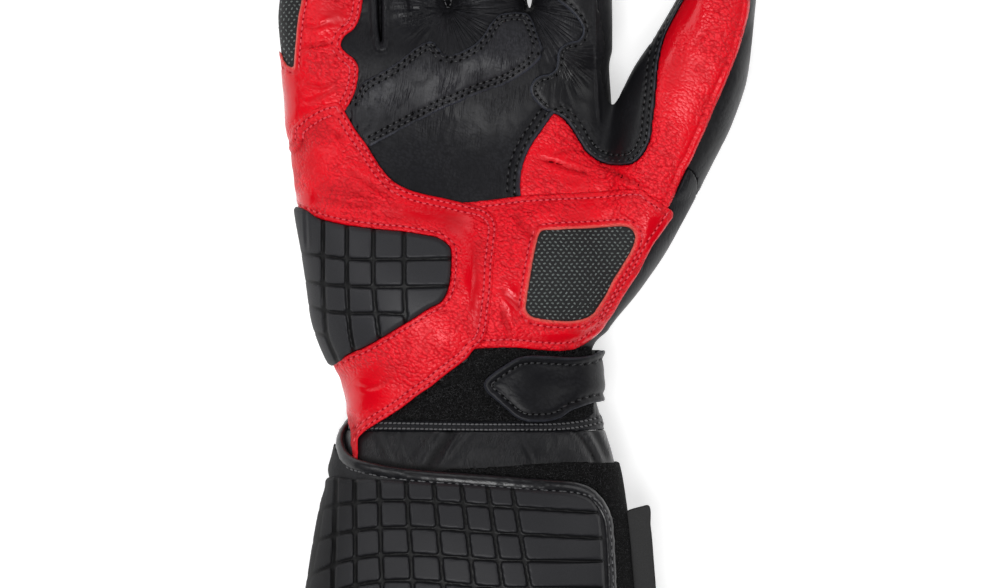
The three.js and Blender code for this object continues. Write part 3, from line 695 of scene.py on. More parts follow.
def hand_skin(x, y, z):
    """Distance from the base leather's outer face, negative inside"""
    skin = body_distance(BODY_TABLE, x, y, z, relief(x, y))
    beside = np.abs(x - across(SLIT_MIDDLE))
    web = WEB_REACH * step_between(*WEB_HEIGHTS, z) * step_between(*WEB_SIDES, beside)
    skin = smooth_max(skin, y - along(BODY_END) - web, BODY_END_BLEND)
    fingers = np.full_like(skin, FAR_AWAY)
    thumb = np.full_like(skin, FAR_AWAY)
    for name, table in DIGIT_TABLES.items():
        middle = np.interp(y, table[0], table[1][:, 0])
        half = np.interp(y, table[0], table[1][:, 2])
        beside = np.abs(x - middle) < half * DIGIT_SPREAD + DIGIT_SIDE_ROOM
        near = (y > table[0][0] - DIGIT_ROOM) & beside
        if not near.any():
            continue
        found = digit_distance(name, x[near], y[near], z[near])
        if name == "thumb":
            thumb[near] = found
        else:
            fingers[near] = smooth_min(fingers[near], found, NEIGHBOUR_BLEND)
    skin = smooth_min(skin, fingers, FINGER_BLEND)
    skin = smooth_min(skin, thumb, THUMB_BLEND)
    slit = column_values(SLIT_GRID, SLIT_MAP, np.stack((x, y), axis=1))
    skin = smooth_max(skin, np.minimum(-slit, z - SLIT_FLOOR), SLIT_BLEND)
    return smooth_max(skin, -z, REST_BLEND)


def flap_skin(x, y, z):
    return body_distance(FLAP_TABLE, x, y, z, 0)


# Meshes of a field's zero surface
CORNERS = [(i, j, k) for i in (0, 1) for j in (0, 1) for k in (0, 1)]
EDGES = [
    (a, b)
    for a in range(8)
    for b in range(a + 1, 8)
    if sum(abs(CORNERS[a][axis] - CORNERS[b][axis]) for axis in range(3)) == 1
]


def surface_of(grid, field):
    """Points and four-sided faces of the field's zero surface"""
    inside = field < 0
    count = np.zeros(tuple(n - 1 for n in grid.shape), np.int8)
    for i, j, k in CORNERS:
        count += inside[i : grid.shape[0] - 1 + i, j : grid.shape[1] - 1 + j, k : grid.shape[2] - 1 + k]
    cells = np.argwhere((count > 0) & (count < 8))
    number = np.full(count.shape, -1, np.int32)
    number[tuple(cells.T)] = np.arange(len(cells))
    values = [field[cells[:, 0] + i, cells[:, 1] + j, cells[:, 2] + k] for i, j, k in CORNERS]
    total = np.zeros((len(cells), 3))
    crossings = np.zeros(len(cells))
    for a, b in EDGES:
        va, vb = values[a], values[b]
        crossed = (va < 0) != (vb < 0)
        share = np.where(crossed, va / np.where(crossed, va - vb, 1), 0)[:, None]
        start = np.array(CORNERS[a], float)
        way = np.array(CORNERS[b], float) - start
        total += np.where(crossed[:, None], start + share * way, 0)
        crossings += crossed
    points = grid.low + (cells + total / crossings[:, None]) * grid.step
    faces = []
    for axis in range(3):
        u, v = (axis + 1) % 3, (axis + 2) % 3
        first = [slice(None)] * 3
        second = [slice(None)] * 3
        first[axis] = slice(0, -1)
        second[axis] = slice(1, None)
        start = inside[tuple(first)]
        changed = np.argwhere(start != inside[tuple(second)])
        room = np.all([(changed[:, w] > 0) & (changed[:, w] < grid.shape[w] - 1) for w in (u, v)], axis=0)
        changed = changed[room]
        outwards = start[tuple(changed.T)]
        quad = []
        for du, dv in ((-1, -1), (0, -1), (0, 0), (-1, 0)):
            cell = changed.copy()
            cell[:, u] += du
            cell[:, v] += dv
            quad.append(number[tuple(cell.T)])
        quad = np.stack(quad, axis=1)
        quad[~outwards] = quad[~outwards][:, ::-1]
        faces.append(quad)
    faces = np.concatenate(faces)
    return points, faces[np.all(faces >= 0, axis=1)]


def merge_hidden(points, faces, hidden, values):
    """Draws hidden points together in large cells. Hidden is 0 for the points that stay, and differs
    between the two faces of a wall, so that these stay apart."""
    drawn = hidden > 0
    if not drawn.any():
        return points, faces, values
    cells = np.floor(points[drawn] / HIDDEN_CELL).astype(int)
    cells = np.concatenate((cells, hidden[drawn][:, None]), axis=1)
    _, group = np.unique(cells, axis=0, return_inverse=True)
    group = group.ravel()
    size = np.bincount(group)
    middle = np.stack([np.bincount(group, points[drawn][:, i]) / size for i in range(3)], axis=1)
    kept = np.nonzero(~drawn)[0]
    number = np.empty(len(points), int)
    number[kept] = np.arange(len(kept))
    number[np.nonzero(drawn)[0]] = len(kept) + group
    points = np.concatenate((points[kept], middle))
    values = {
        name: np.concatenate((value[kept], np.bincount(group, value[drawn]) / size))
        for name, value in values.items()
    }
    return points, number[faces], values


def faces_of(quads):
    """Faces as lists, without corners that have fallen together and without doubles"""
    same = quads == np.roll(quads, -1, axis=1)
    whole = ~same.any(axis=1)
    out = quads[whole].tolist()
    seen = set()
    for quad in quads[~whole].tolist():
        corners = [corner for i, corner in enumerate(quad) if corner != quad[(i + 1) % 4]]
        key = tuple(sorted(corners))
        if len(set(corners)) < 3 or len(set(corners)) != len(corners) or key in seen:
            continue
        seen.add(key)
        out.append(corners)
    return out


# Pieces of the visual mesh
collection = bpy.context.scene.collection


def add_mesh(name, points, faces, material, replaced=(), values=None):
    """One piece of the visual mesh, with values for its points"""
    mesh = bpy.data.meshes.new(name)
    mesh.from_pydata((np.asarray(points) * MM).tolist(), [], faces)
    for key, value in (values or {}).items():
        mesh.attributes.new(key, "FLOAT", "POINT").data.foreach_set("value", value.astype(np.float32))
    mesh.update()
    mesh.shade_smooth()
    mesh.materials.append(material)
    piece = bpy.data.objects.new(name, mesh)
    collection.objects.link(piece)
    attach(piece, "root")
    if replaced:
        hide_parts(*replaced)


# Materials
def new_tree(name):
    material = bpy.data.materials.new(name)
    material.use_nodes = True
    tree = material.node_tree
    tree.nodes.clear()
    return material, tree


def node(tree, kind, inputs=None, **settings):
    """A shader node. Inputs that are sockets are linked, others are set on it."""
    made = tree.nodes.new("ShaderNode" + kind)
    for key, value in settings.items():
        setattr(made, key, value)
    for key, value in (inputs or {}).items():
        socket = made.inputs[key]
        if isinstance(value, bpy.types.NodeSocket):
            tree.links.new(value, socket)
        else:
            socket.default_value = value
    return made


def maths(tree, operation, first, second=0.5, third=None):
    inputs = {0: first, 1: second}
    if third is not None:
        inputs[2] = third
    return node(tree, "Math", inputs, operation=operation).outputs[0]


def ranged(tree, value, low, high, to_low=0.0, to_high=1.0):
    """A value from one range brought smoothly into another"""
    inputs = {"Value": value, "From Min": low, "From Max": high, "To Min": to_low, "To Max": to_high}
    return node(tree, "MapRange", inputs, interpolation_type="SMOOTHSTEP").outputs[0]


def millimetres(tree):
    """Place in the row frame, in millimetres"""
    place = node(tree, "TexCoord").outputs["Object"]
    return node(tree, "VectorMath", {0: place, "Scale": 1000.0}, operation="SCALE").outputs[0]


def textured(tree, place, kind, scale, feature=None, **inputs):
    """The output of a noise or cell texture at a place"""
    settings = {"feature": feature} if feature else {}
    output = "Distance" if kind == "TexVoronoi" else 0
    given = {"Vector": place, "Scale": scale}
    given.update({key.replace("_", " "): value for key, value in inputs.items()})
    return node(tree, kind, given, **settings).outputs[output]


def shifted(tree, place, scale, amount):
    """The place moved about by noise, so that no cell or crease is regular"""
    colour = node(tree, "TexNoise", {"Vector": place, "Scale": scale, "Detail": 2.0}).outputs["Color"]
    centred = node(tree, "VectorMath", {0: colour, 1: (0.5, 0.5, 0.5)}, operation="SUBTRACT").outputs[0]
    moved = node(tree, "VectorMath", {0: centred, "Scale": amount}, operation="SCALE").outputs[0]
    return node(tree, "VectorMath", {0: place, 1: moved}, operation="ADD").outputs[0]


def mixed_colour(tree, share, first, second):
    """The first colour mixed towards the second"""
    made = node(tree, "Mix", {0: share}, data_type="RGBA")
    for index, value in ((6, first), (7, second)):
        socket = made.inputs[index]
        if isinstance(value, bpy.types.NodeSocket):
            tree.links.new(value, socket)
        else:
            socket.default_value = (*value, 1)
    return made.outputs[2]


def attribute(tree, name):
    return node(tree, "Attribute", attribute_name=name).outputs["Fac"]


def valley(tree, value, width):
    """0 along the lines where a noise is one half, 1 away from them"""
    away = maths(tree, "ABSOLUTE", maths(tree, "SUBTRACT", value, 0.5))
    return ranged(tree, away, 0.0, width)


def turned_and_scaled(tree, place, angle, sizes):
    """The place turned about Z, then scaled along each axis"""
    turned = node(tree, "VectorRotate", {"Vector": place, "Angle": angle}, rotation_type="Z_AXIS").outputs[0]
    return node(tree, "VectorMath", {0: turned, 1: sizes}, operation="MULTIPLY").outputs[0]


def fan_wrinkles(x, y, reach, turns, height):
    """Fine wrinkles that run out from a place of the palm view, such as the crotch of two fingers"""

    def relief_of(tree, place):
        centre = (across(x), along(y), 0)
        offset = node(tree, "VectorMath", {0: place, 1: centre}, operation="SUBTRACT").outputs[0]
        parts = node(tree, "SeparateXYZ", {0: offset}).outputs
        squares = [maths(tree, "MULTIPLY", parts[i], parts[i]) for i in (0, 1)]
        far = maths(tree, "SQRT", maths(tree, "ADD", *squares))
        angle = maths(tree, "ARCTAN2", parts[0], maths(tree, "MULTIPLY", parts[1], -1.0))
        round_centre = maths(tree, "MULTIPLY", angle, float(turns))
        outwards = maths(tree, "MULTIPLY", far, 0.045)
        polar = node(tree, "CombineXYZ", {0: round_centre, 1: outwards}).outputs[0]
        streaks = textured(tree, polar, "TexNoise", 1.0, Detail=1.2, Roughness=0.5)
        inner = ranged(tree, far, 0.4, 3.0)
        outer = ranged(tree, far, reach * SCALE, 0.2 * reach * SCALE)
        sector = ranged(tree, parts[0], -6.0, 5.0, 0.25 * height, height)
        share = maths(tree, "MULTIPLY", maths(tree, "MULTIPLY", inner, outer), sector)
        return maths(tree, "MULTIPLY", valley(tree, streaks, 0.14), share)

    return relief_of


def long_wrinkles(angle, fine, length, height, cover=0.5, bend=2.0):
    """Long fine wrinkles that run one way, in degrees from +X, in patches"""

    def relief_of(tree, place):
        moved = shifted(tree, place, 0.09, bend)
        sizes = (1 / length, 1 / fine, 1 / length)
        turned = turned_and_scaled(tree, moved, -math.radians(angle), sizes)
        streaks = textured(tree, turned, "TexNoise", 1.0, Detail=2.0, Roughness=0.5)
        patches = textured(tree, place, "TexNoise", 0.11, Detail=1.0)
        patches = ranged(tree, patches, 0.62 - 0.3 * cover, 0.8 - 0.3 * cover, 0.15, 1.0)
        share = maths(tree, "MULTIPLY", patches, height)
        return maths(tree, "MULTIPLY", valley(tree, streaks, 0.13), share)

    return relief_of


def pebbled(tree, place, cell):
    """Distance from the middles of irregular pebbles, in sizes of a pebble"""
    wandering = shifted(tree, place, 0.35, 1.2)
    turned = turned_and_scaled(tree, wandering, 0.5, (0.8 / cell, 1.15 / cell, 1 / cell))
    return textured(tree, turned, "TexVoronoi", 1.0, feature="F1")


def finish_material(material, tree, colour, shine, bump, specular, tint=(1, 1, 1)):
    """Ends a material with its shader. What is the same all over is set on the shader's sockets."""
    inputs = {
        "Base Color": colour, "Roughness": shine, "Normal": bump.outputs[0],
        "Specular IOR Level": specular, "Specular Tint": (*tint, 1),
    }
    shader = node(tree, "BsdfPrincipled", inputs)
    node(tree, "OutputMaterial", {"Surface": shader.outputs[0]})
    return material


def leather(
    name, colour, pale, dark, edge, rough, specular, grain, crinkle, cell, wrinkles=(), glint=0.06,
    tint=(1, 1, 1),
):
    """Grained leather: fine grain, pebbles in patches, wrinkles, painted shade in its cracks and furrows and
    a paler cut edge.
    Grain, crinkle and cell are lengths in millimetres."""
    material, tree = new_tree(name)
    place = millimetres(tree)
    # The furrow, dull and tight maps darken the colour as painted shade; dull and tight also change
    # roughness
    furrow, dull, tight = (attribute(tree, key) for key in ("furrow", "dull", "tight"))
    tight = ranged(tree, tight, 0.02, 0.95)
    broad = textured(tree, place, "TexNoise", 0.075, Detail=2.0, Roughness=0.55)
    patches = ranged(tree, broad, 0.36, 0.58, 0.3, 1.0)
    patches = maths(tree, "MULTIPLY", patches, maths(tree, "MULTIPLY_ADD", tight, -0.94, 1.0))

    # Relief: large and small pebbles with folds between them, the fine grain and the wrinkles
    fine = textured(tree, place, "TexVoronoi", 2.1, feature="SMOOTH_F1", Smoothness=0.5)
    large, small = (pebbled(tree, place, size) for size in (cell, 0.55 * cell))
    folds = textured(tree, shifted(tree, place, 0.3, 1.1), "TexNoise", 0.3 / cell, Detail=2.0, Roughness=0.5)
    large_rounds, small_rounds = (maths(tree, "MULTIPLY", away, away) for away in (large, small))
    rounds = maths(tree, "MULTIPLY_ADD", small_rounds, -0.2, maths(tree, "MULTIPLY", large_rounds, -1.0))
    crinkles = maths(tree, "MULTIPLY_ADD", valley(tree, folds, 0.12), 0.14, rounds)
    height = maths(tree, "MULTIPLY", fine, -grain)
    height = maths(tree, "MULTIPLY_ADD", crinkles, maths(tree, "MULTIPLY", patches, crinkle), height)
    for wrinkle in wrinkles:
        height = maths(tree, "ADD", height, wrinkle(tree, place))
    bump = node(tree, "Bump", {"Strength": 1.0, "Distance": MM, "Height": height})

    # Colour: painted shade between the pebbles, in furrows, in stretched places and on turned-down sides;
    # paler at cut edges
    base = mixed_colour(tree, ranged(tree, broad, 0.3, 0.75), colour, pale)
    # Painted shade in the cracks between the pebbles
    cracks = maths(tree, "MULTIPLY", ranged(tree, large, 0.36, 0.62, 0.0, 0.4), patches)
    base = mixed_colour(tree, cracks, base, dark)
    base = mixed_colour(tree, maths(tree, "MULTIPLY", furrow, 0.85), base, dark)
    shaded = maths(tree, "MULTIPLY", maths(tree, "MAXIMUM", tight, dull), 0.3)
    base = mixed_colour(tree, shaded, base, dark)
    base = mixed_colour(tree, attribute(tree, "edge"), base, edge)

    # Roughness: smoother where stretched, rougher in patches, in furrows and on sides
    shine = maths(tree, "MULTIPLY_ADD", patches, glint, rough)
    shine = maths(tree, "MULTIPLY_ADD", tight, -0.1, shine)
    shine = maths(tree, "MULTIPLY_ADD", maths(tree, "MAXIMUM", dull, furrow), 0.45, shine)
    return finish_material(material, tree, base, shine, bump, specular, tint)


def plain(name, colour, rough, grain=0.0, size=1.0, specular=0.5, variation=0.25, furrowed=False):
    """A material with slight colour variation and a fine grain"""
    material, tree = new_tree(name)
    place = millimetres(tree)
    speckle = textured(tree, place, "TexNoise", 1 / size, Detail=3.0, Roughness=0.6)
    darker = tuple(part * (1 - variation) for part in colour)
    base = mixed_colour(tree, ranged(tree, speckle, 0.35, 0.65), colour, darker)
    shine = ranged(tree, speckle, 0.2, 0.8, rough - 0.06, rough + 0.06)
    # Furrowed: painted shade, near black, in the grooves and on the dim side, which is also made rougher
    if furrowed:
        furrow, dull = (attribute(tree, key) for key in ("furrow", "dull"))
        black = tuple(part * 0.12 for part in colour)
        base = mixed_colour(tree, furrow, base, black)
        base = mixed_colour(tree, maths(tree, "MULTIPLY", dull, 0.6), base, black)
        shine = maths(tree, "MULTIPLY_ADD", dull, 0.35, shine)
    bump = node(tree, "Bump", {"Strength": 1.0, "Distance": grain * MM, "Height": speckle})
    return finish_material(material, tree, base, shine, bump, specular)


# Tones of black leather: its colour, its paler places, the dark of the painted shade in its furrows, cracks
# and shaded places, and its cut edge
BLACK_TONES = (
    (0.0072, 0.0072, 0.0086), (0.011, 0.011, 0.0132), (0.0015, 0.0015, 0.002), (0.055, 0.06, 0.08),
)
# The palm's leather: the same black coloured lighter, as painted sheen
PALM_SHEEN_TONES = ((0.0105, 0.0105, 0.0125), (0.015, 0.015, 0.0178), *BLACK_TONES[2:])
# Red leather: its third colour is the dark of its painted shade
RED = leather(
    "red_leather", (0.76, 0.0, 0.009), (0.8, 0.001, 0.012), (0.32, 0.0, 0.003), (0.66, 0.1, 0.08),
    rough=0.29, specular=0.52, grain=0.01, crinkle=0.42, cell=1.08, glint=0.17, tint=(1.0, 0.5, 0.53),
)
BLACK = leather(
    "black_leather", *BLACK_TONES, rough=0.38, specular=0.31, grain=0.012, crinkle=0.07, cell=1.3,
)
PALM_BLACK = leather(
    "palm_leather", *PALM_SHEEN_TONES, rough=0.36, specular=0.15, grain=0.01, crinkle=0.03, cell=1.0,
    wrinkles=(
        fan_wrinkles(*INDEX_CROTCH, 80, 9, 0.28), fan_wrinkles(*RING_CROTCH, 85, 8, 0.26),
        long_wrinkles(86, 1.0, 12.0, 0.06, cover=0.6), long_wrinkles(74, 2.2, 16.0, 0.1, cover=0.4),
    ),
)
# The grip patch's black coloured lighter, as painted sheen
GRIP_BLACK = leather(
    "grip_leather", (0.017, 0.017, 0.0205), (0.024, 0.024, 0.029), *BLACK_TONES[2:],
    rough=0.38, specular=0.22, grain=0.012, crinkle=0.05, cell=1.0,
    wrinkles=(long_wrinkles(84, 1.0, 12.0, 0.12), long_wrinkles(78, 2.0, 14.0, 0.16)),
)
STRAP_BLACK = leather(
    "strap_leather", *BLACK_TONES, rough=0.34, specular=0.12, grain=0.012, crinkle=0.04, cell=1.2,
)
GUSSET_BLACK = leather(
    "gusset_leather", *BLACK_TONES, rough=0.36, specular=0.22, grain=0.01, crinkle=0.03, cell=1.0,
    wrinkles=(fan_wrinkles(*WEB_CORNER, 60, 9, 0.12), long_wrinkles(-62, 1.3, 12.0, 0.03)),
)
WRIST_BLACK = leather(
    "wrist_leather", *BLACK_TONES, rough=0.33, specular=0.33, grain=0.012, crinkle=0.04, cell=1.2,
    wrinkles=(
        long_wrinkles(58, 1.1, 12.0, 0.1, cover=0.6, bend=3.0),
        long_wrinkles(96, 0.9, 9.0, 0.09, cover=0.6, bend=3.0),
    ),
)
BINDING = leather(
    "binding_leather", *BLACK_TONES, rough=0.26, specular=0.36, grain=0.012, crinkle=0.06, cell=1.4,
)
MOULDED = {"grain": 0.015, "size": 0.25, "specular": 0.26, "furrowed": True}
RUBBER = plain("moulded_rubber", (0.026, 0.026, 0.0295), 0.5, **MOULDED)
# The same moulded rubber, coloured darker on the cuff grid than on the slider, as painted shade
SHADED_GRID_RUBBER = plain("shaded_grid_rubber", (0.0165, 0.0165, 0.0192), 0.5, **MOULDED)
FUZZ = plain("loop_fabric", (0.008, 0.008, 0.0084), 0.9, grain=0.5, size=0.55, specular=0.1, variation=0.85)
HAIR = plain("loop_fibre", (0.055, 0.055, 0.058), 0.7, size=2.0, specular=0.2, variation=0.7)
WEAVE = plain("plate_fabric", (0.006, 0.006, 0.007), 0.8, grain=0.15, size=0.4)
PLATE = plain("hard_plates", (0.17, 0.2, 0.19), 0.32, size=0.8, variation=0.5)
# Red thread, a pinker red than the leather: partly its own colour, partly painted highlight
RED_THREAD = plain("red_thread", (0.82, 0.05, 0.075), 0.42, grain=0.05, size=0.2)
BLACK_THREAD = plain("black_thread", (0.02, 0.02, 0.022), 0.38, grain=0.05, size=0.2)
GREY_THREAD = plain("grey_thread", (0.1, 0.1, 0.105), 0.45, grain=0.05, size=0.2)
# Dark rods laid in the needle holes as painted shade: dark red in red leather, near black elsewhere
HOLE_SHADE = plain("needle_hole_shade", (0.34, 0.0, 0.009), 0.9, specular=0.1)
DARK_HOLE_SHADE = plain("dark_needle_hole_shade", (0.001, 0.001, 0.001), 0.9, specular=0.1)
LABEL_CLOTH = plain("label_cloth", (0.006, 0.006, 0.0065), 0.7, grain=0.08, size=0.3)


# Sides of the seam between palm and back
def above_seam(rows):
    """A limit, negative on the palm's side of the seam"""
    return lambda x, y, z: seam_height(rows, y) - z


def below_seam(rows):
    """A limit, negative on the back's side of the seam"""
    return lambda x, y, z: z - seam_height(rows, y)


palm_side = above_seam(SIDE_SEAM)
back_side = below_seam(SIDE_SEAM)
thumb_palm_side = above_seam(THUMB_SEAM)
thumb_back_side = below_seam(THUMB_SEAM)


# Layers of leather, cloth and rubber
def distance_from(line, grid):
    """Distance of a grid's columns from an outline, negative inside, or from a line of some pixels"""
    return line_of(line).measure(grid.x, grid.y)[0]


def limits_between(grid, lower, upper):
    """Limits of a piece that goes from one height in the palm view up to another"""
    return np.maximum(along(lower) - grid.y, grid.y - along(upper))


def cut_by_thumb(grid):
    return -distance_from("thumb_region", grid)


def node_grid(name, step, further=0.0):
    """A grid round a node's box, and further towards the fingertips"""
    low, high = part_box(name)
    low = [part / MM - NODE_ROOM for part in low]
    high = [part / MM + NODE_ROOM for part in high]
    return Grid(low, (high[0], high[1] + further, high[2]), step)


def from_side(table, grid):
    """How far a grid's columns are from the glove's left side"""
    middle, half = look_up(table, grid.axes[1])[:2]
    return grid.x - (middle - half)[None, :]


class Row:
    """One row of stitches: its line, how far inside it, its thread and where its first hole is"""

    def __init__(self, line, inset, thread="black", phase=0.0, pitch=None, depth=SEAM_DEPTH, room=0.75):
        self.line = line_of(line)
        self.inset = inset
        self.thread = thread
        self.pitch = pitch or (PITCH if thread == "red" else BLACK_PITCH)
        self.phase = phase * self.pitch
        self.depth = depth
        self.room = room


def seam_furrows(grid, rows):
    """Depth of the furrows that rows of stitches pull into a piece, deepest at the needle holes"""
    depth = np.zeros(grid.shape[:2])
    found = {}
    for row in rows:
        if row.line not in found:
            found[row.line] = row.line.measure(grid.x, grid.y)
        away, place = found[row.line]
        at_hole = 0.5 + 0.5 * np.cos(2 * np.pi * (place - row.phase) / row.pitch)
        pull = 0.35 + 0.65 * at_hole**2
        depth = np.maximum(depth, row.depth * pull * bump_at(np.abs(away) - row.inset, SEAM_WIDTH))
    return depth


FACE_BLEND = 0.15  # rounding between a layer's outer and inner face
SIDE_BLEND = 0.4
UNDER_SHARE = 0.45  # points below this share of a layer's thickness belong to its inner face
UNDER_MARGIN = 1.2  # what nothing shows starts this far inside a layer's limits
COVERED_MARGIN = 2.2  # and this far under another piece
COVERED_LIMIT = 0.8  # inside the layer's own limits there


def make_layer(
    name, grid, low, top, limits, material, slot, furrow=None, skin=hand_skin, side=palm_side, rim=0.7,
    covered=None, edge=None, tight=None, dull=None,
):
    """A piece between a height over the skin and a map of heights over it, and the tree of its faces.
    Furrow, edge, tight and dull are maps for its material: furrow, tight and dull carry painted shade into
    its colour. Covered is the limit of what lies on it."""
    top = np.maximum(top, low + THINNEST)
    index = grid.near(skin, low, float(top.max()), limits)
    x, y, z = grid.places(index)
    away = skin(x, y, z)
    value = smooth_max(away - top[index[:2]], low - away, FACE_BLEND)
    value = smooth_max(value, limits[index[:2]], rim)
    if side:
        value = smooth_max(value, side(x, y, z), SIDE_BLEND)
    field = np.full(grid.shape, NO_MATTER, np.float32)
    field[index] = value
    points, quads = surface_of(grid, field)
    away = skin(*points.T)
    over = column_values(grid, top, points)
    inside = column_values(grid, limits, points)
    under = (away < low + UNDER_SHARE * (over - low)) & (inside < -UNDER_MARGIN)
    if side:
        under &= side(*points.T) < -UNDER_MARGIN
    hidden = np.where(under, 1, 0)
    if covered is not None:
        on_it = (column_values(grid, covered, points) < -COVERED_MARGIN) & (inside < -COVERED_LIMIT)
        hidden = np.where(on_it & ~under, 2, hidden)
    bare = np.zeros(grid.shape[:2])
    values = {
        key: np.clip(column_values(grid, bare if shade is None else shade, points), 0, 1)
        for key, shade in (("furrow", furrow), ("edge", edge), ("tight", tight), ("dull", dull))
    }
    points, quads, values = merge_hidden(points, quads, hidden, values)
    faces = faces_of(quads)
    add_mesh(name, points, faces, material, (name,), values)
    return BVHTree.FromPolygons(points.tolist(), faces)


# Stitches, needle holes and plates
ROD_RINGS = ((-1, 0.0), (-0.85, 0.62), (-0.4, 1), (0.4, 1), (0.85, 0.62), (1, 0.0))  # place and radius
ROD_SIDES = 6
ABOVE_ALL = 140  # a height over the whole glove
STEEPEST = 0.12  # height of a face's normal that still takes a stitch
SHORTEST = 0.05  # of a direction laid into a face, before it is made one long


def stacked(frames):
    """Places, directions and normals of frames, as three arrays"""
    return (np.array([tuple(parts[i]) for parts in frames]) for i in range(3))


def round_angles(count):
    """Even angles round a circle"""
    return [2 * math.pi * k / count for k in range(count)]


def rods(name, frames, size, material):
    """Rounded rods of one length, width and height lying in frames, all in one mesh"""
    centres, ways, ups = stacked(frames)
    sides = np.cross(ups, ways)
    length, width, height = size
    rod = np.array([
        (place * length / 2, math.cos(angle) * radius * width / 2, math.sin(angle) * radius * height / 2)
        for place, radius in ROD_RINGS
        for angle in round_angles(ROD_SIDES if radius else 1)
    ])
    between = len(ROD_RINGS) - 3
    last = 1 + between * ROD_SIDES
    faces = []
    for k in range(ROD_SIDES):
        after = (k + 1) % ROD_SIDES
        faces.append((0, 1 + after, 1 + k))
        for a in range(1, last, ROD_SIDES):
            b = a + ROD_SIDES
            faces.append((a + k, a + after, b + after, b + k))
        faces.append((last + k, last + after, len(rod) - 1))
    points = (
        centres[:, None]
        + rod[None, :, :1] * ways[:, None]
        + rod[None, :, 1:2] * sides[:, None]
        + rod[None, :, 2:] * ups[:, None]
    ).reshape(-1, 3)
    faces = [[corner + i * len(rod) for corner in face] for i in range(len(centres)) for face in faces]
    add_mesh(name, points, faces, material)


def on_surface(tree, x, y, tangent):
    """A frame on a piece's upper face: place, direction and normal, or None where it is too steep"""
    hit, normal, _, _ = tree.ray_cast(Vector((x, y, ABOVE_ALL)), Vector((0, 0, -1)))
    if hit is None or normal.z < STEEPEST:
        return None
    way = Vector((tangent[0], tangent[1], 0))
    way -= normal * way.dot(normal)
    if way.length < SHORTEST:
        return None
    return hit, way.normalized(), normal


THREADS = {"red": (RED_THREAD, HOLE_SHADE), "black": (BLACK_THREAD, DARK_HOLE_SHADE), "grey": (GREY_THREAD, DARK_HOLE_SHADE)}
SLANT = np.array((
    (math.cos(PIT_SLANT), math.sin(PIT_SLANT)),
    (-math.sin(PIT_SLANT), math.cos(PIT_SLANT)),
))
LINE_MARGIN = 0.3  # a stitch's distance from its line may be this far off, as at a sharp corner


def sew(name, rows, tree, grid, limits):
    """The thread of a piece's rows and dark rods of painted shade in its needle holes, each row on the side
    where more of it fits
    """
    stitches = {}
    for row in rows:
        count = int(row.line.length / row.pitch)
        for kind, shift in ((0, 0.5), (1, 0.0)):
            place = (np.arange(count) + shift) * row.pitch + row.phase
            best = []
            for side in (-1, 1):
                spots, tangents, _ = row.line.at(place, side * row.inset)
                depth = column_values(grid, limits, spots)
                away = np.abs(row.line.measure(spots[:, :1], spots[:, 1:])[0].ravel())
                good = (depth < -row.room) & (np.abs(away - row.inset) < LINE_MARGIN)
                if kind and row.thread == "black":
                    tangents = tangents @ SLANT
                if good.sum() > len(best):
                    best = [(*spot, tangent) for spot, tangent in zip(spots[good], tangents[good])]
            for x, y, tangent in best:
                found = on_surface(tree, x, y, tangent)
                if found:
                    stitches.setdefault((row.thread, kind), []).append(found)
    for (thread, kind), frames in stitches.items():
        size = (STITCH_SIZE, HOLE_SIZES[thread])[kind]
        label = ("thread", "needle_hole_shade")[kind]
        rods(f"{name}_{thread}_{label}", frames, size, THREADS[thread][kind])


PRESSED = 0.5  # how much thinner a piece is where it runs under another one
SWELLING_REACH = 5  # from its last row of stitches to a piece's full swelling
# How dark the painted shade in a row's furrow is
FURROW_SHADE = 0.55
PANEL_RIM = 0.9


def panel(
    name, thickness, material, rows, cuts=(), holes=(), swell=0.0, detail=None, side=palm_side, pale=()
):
    """A sewn piece: its edge rounded over, its rows of stitches sunk, its middle swollen. A row has
    its line, how many pixels inside it and where its first hole is. Pale has the lines along which a
    cut edge shows, with its breadth."""
    colour = "red" if material is RED else "black"
    slot = colour + "_leather"
    rows = [Row(line, inset * SCALE, colour, phase) for line, inset, phase in rows]
    grid = node_grid(name, FINE_STEP)
    limits = distance_from(name, grid)
    top = np.full(grid.shape[:2], thickness)
    for cut in cuts:
        away = distance_from(cut, grid)
        limits = np.maximum(limits, -away - OVERLAP)
        top -= PRESSED * bump_at(np.maximum(away, 0), 1.5)
    for hole in holes:
        limits = np.maximum(limits, -distance_from(hole, grid))
    furrows = seam_furrows(grid, rows)
    deepest = max([row.inset for row in rows], default=0)
    inner = np.full(grid.shape[:2], NO_MATTER)
    for line in {row.line for row in rows}:
        inner = np.minimum(inner, np.abs(line.measure(grid.x, grid.y)[0]))
    top += swell * step_between(deepest, deepest + SWELLING_REACH, inner)
    top -= furrows
    # Painted shade in the stitch furrows and the creases
    furrow_shade = furrows / SEAM_DEPTH * FURROW_SHADE
    if detail:
        change = detail(grid, limits)
        top += change
        furrow_shade = furrow_shade + np.clip(-change * 0.9, 0, 0.5)
    edge = np.zeros(grid.shape[:2])
    for line, width in pale:
        away = np.abs(distance_from(line, grid))
        edge = np.maximum(edge, step_between(width + 0.35, width - 0.15, away))
    # Painted shade in stretched places and beside the index finger
    tight = sum(patch_of(grid, *place) for place in TIGHT_SHADED_PLACES)
    tree = make_layer(
        name, grid, 0.0, top, limits, material, slot, furrow_shade, side=side, rim=PANEL_RIM, edge=edge,
        tight=tight, dull=patch_of(grid, *INDEX_SIDE),
    )
    sew(name, rows, tree, grid, limits)


# Wrinkles, as maps of height
def stretched(grid, angle, length, width, seed, strength):
    """Furrows that run one way, in degrees from +X"""
    turn = math.radians(angle)
    u = grid.x * math.cos(turn) + grid.y * math.sin(turn)
    v = -grid.x * math.sin(turn) + grid.y * math.cos(turn)
    v = v + 1.2 * noise(grid.x, grid.y, 9, seed + 1)
    return -strength * ridges(u / length, v / width, 1.0, seed)


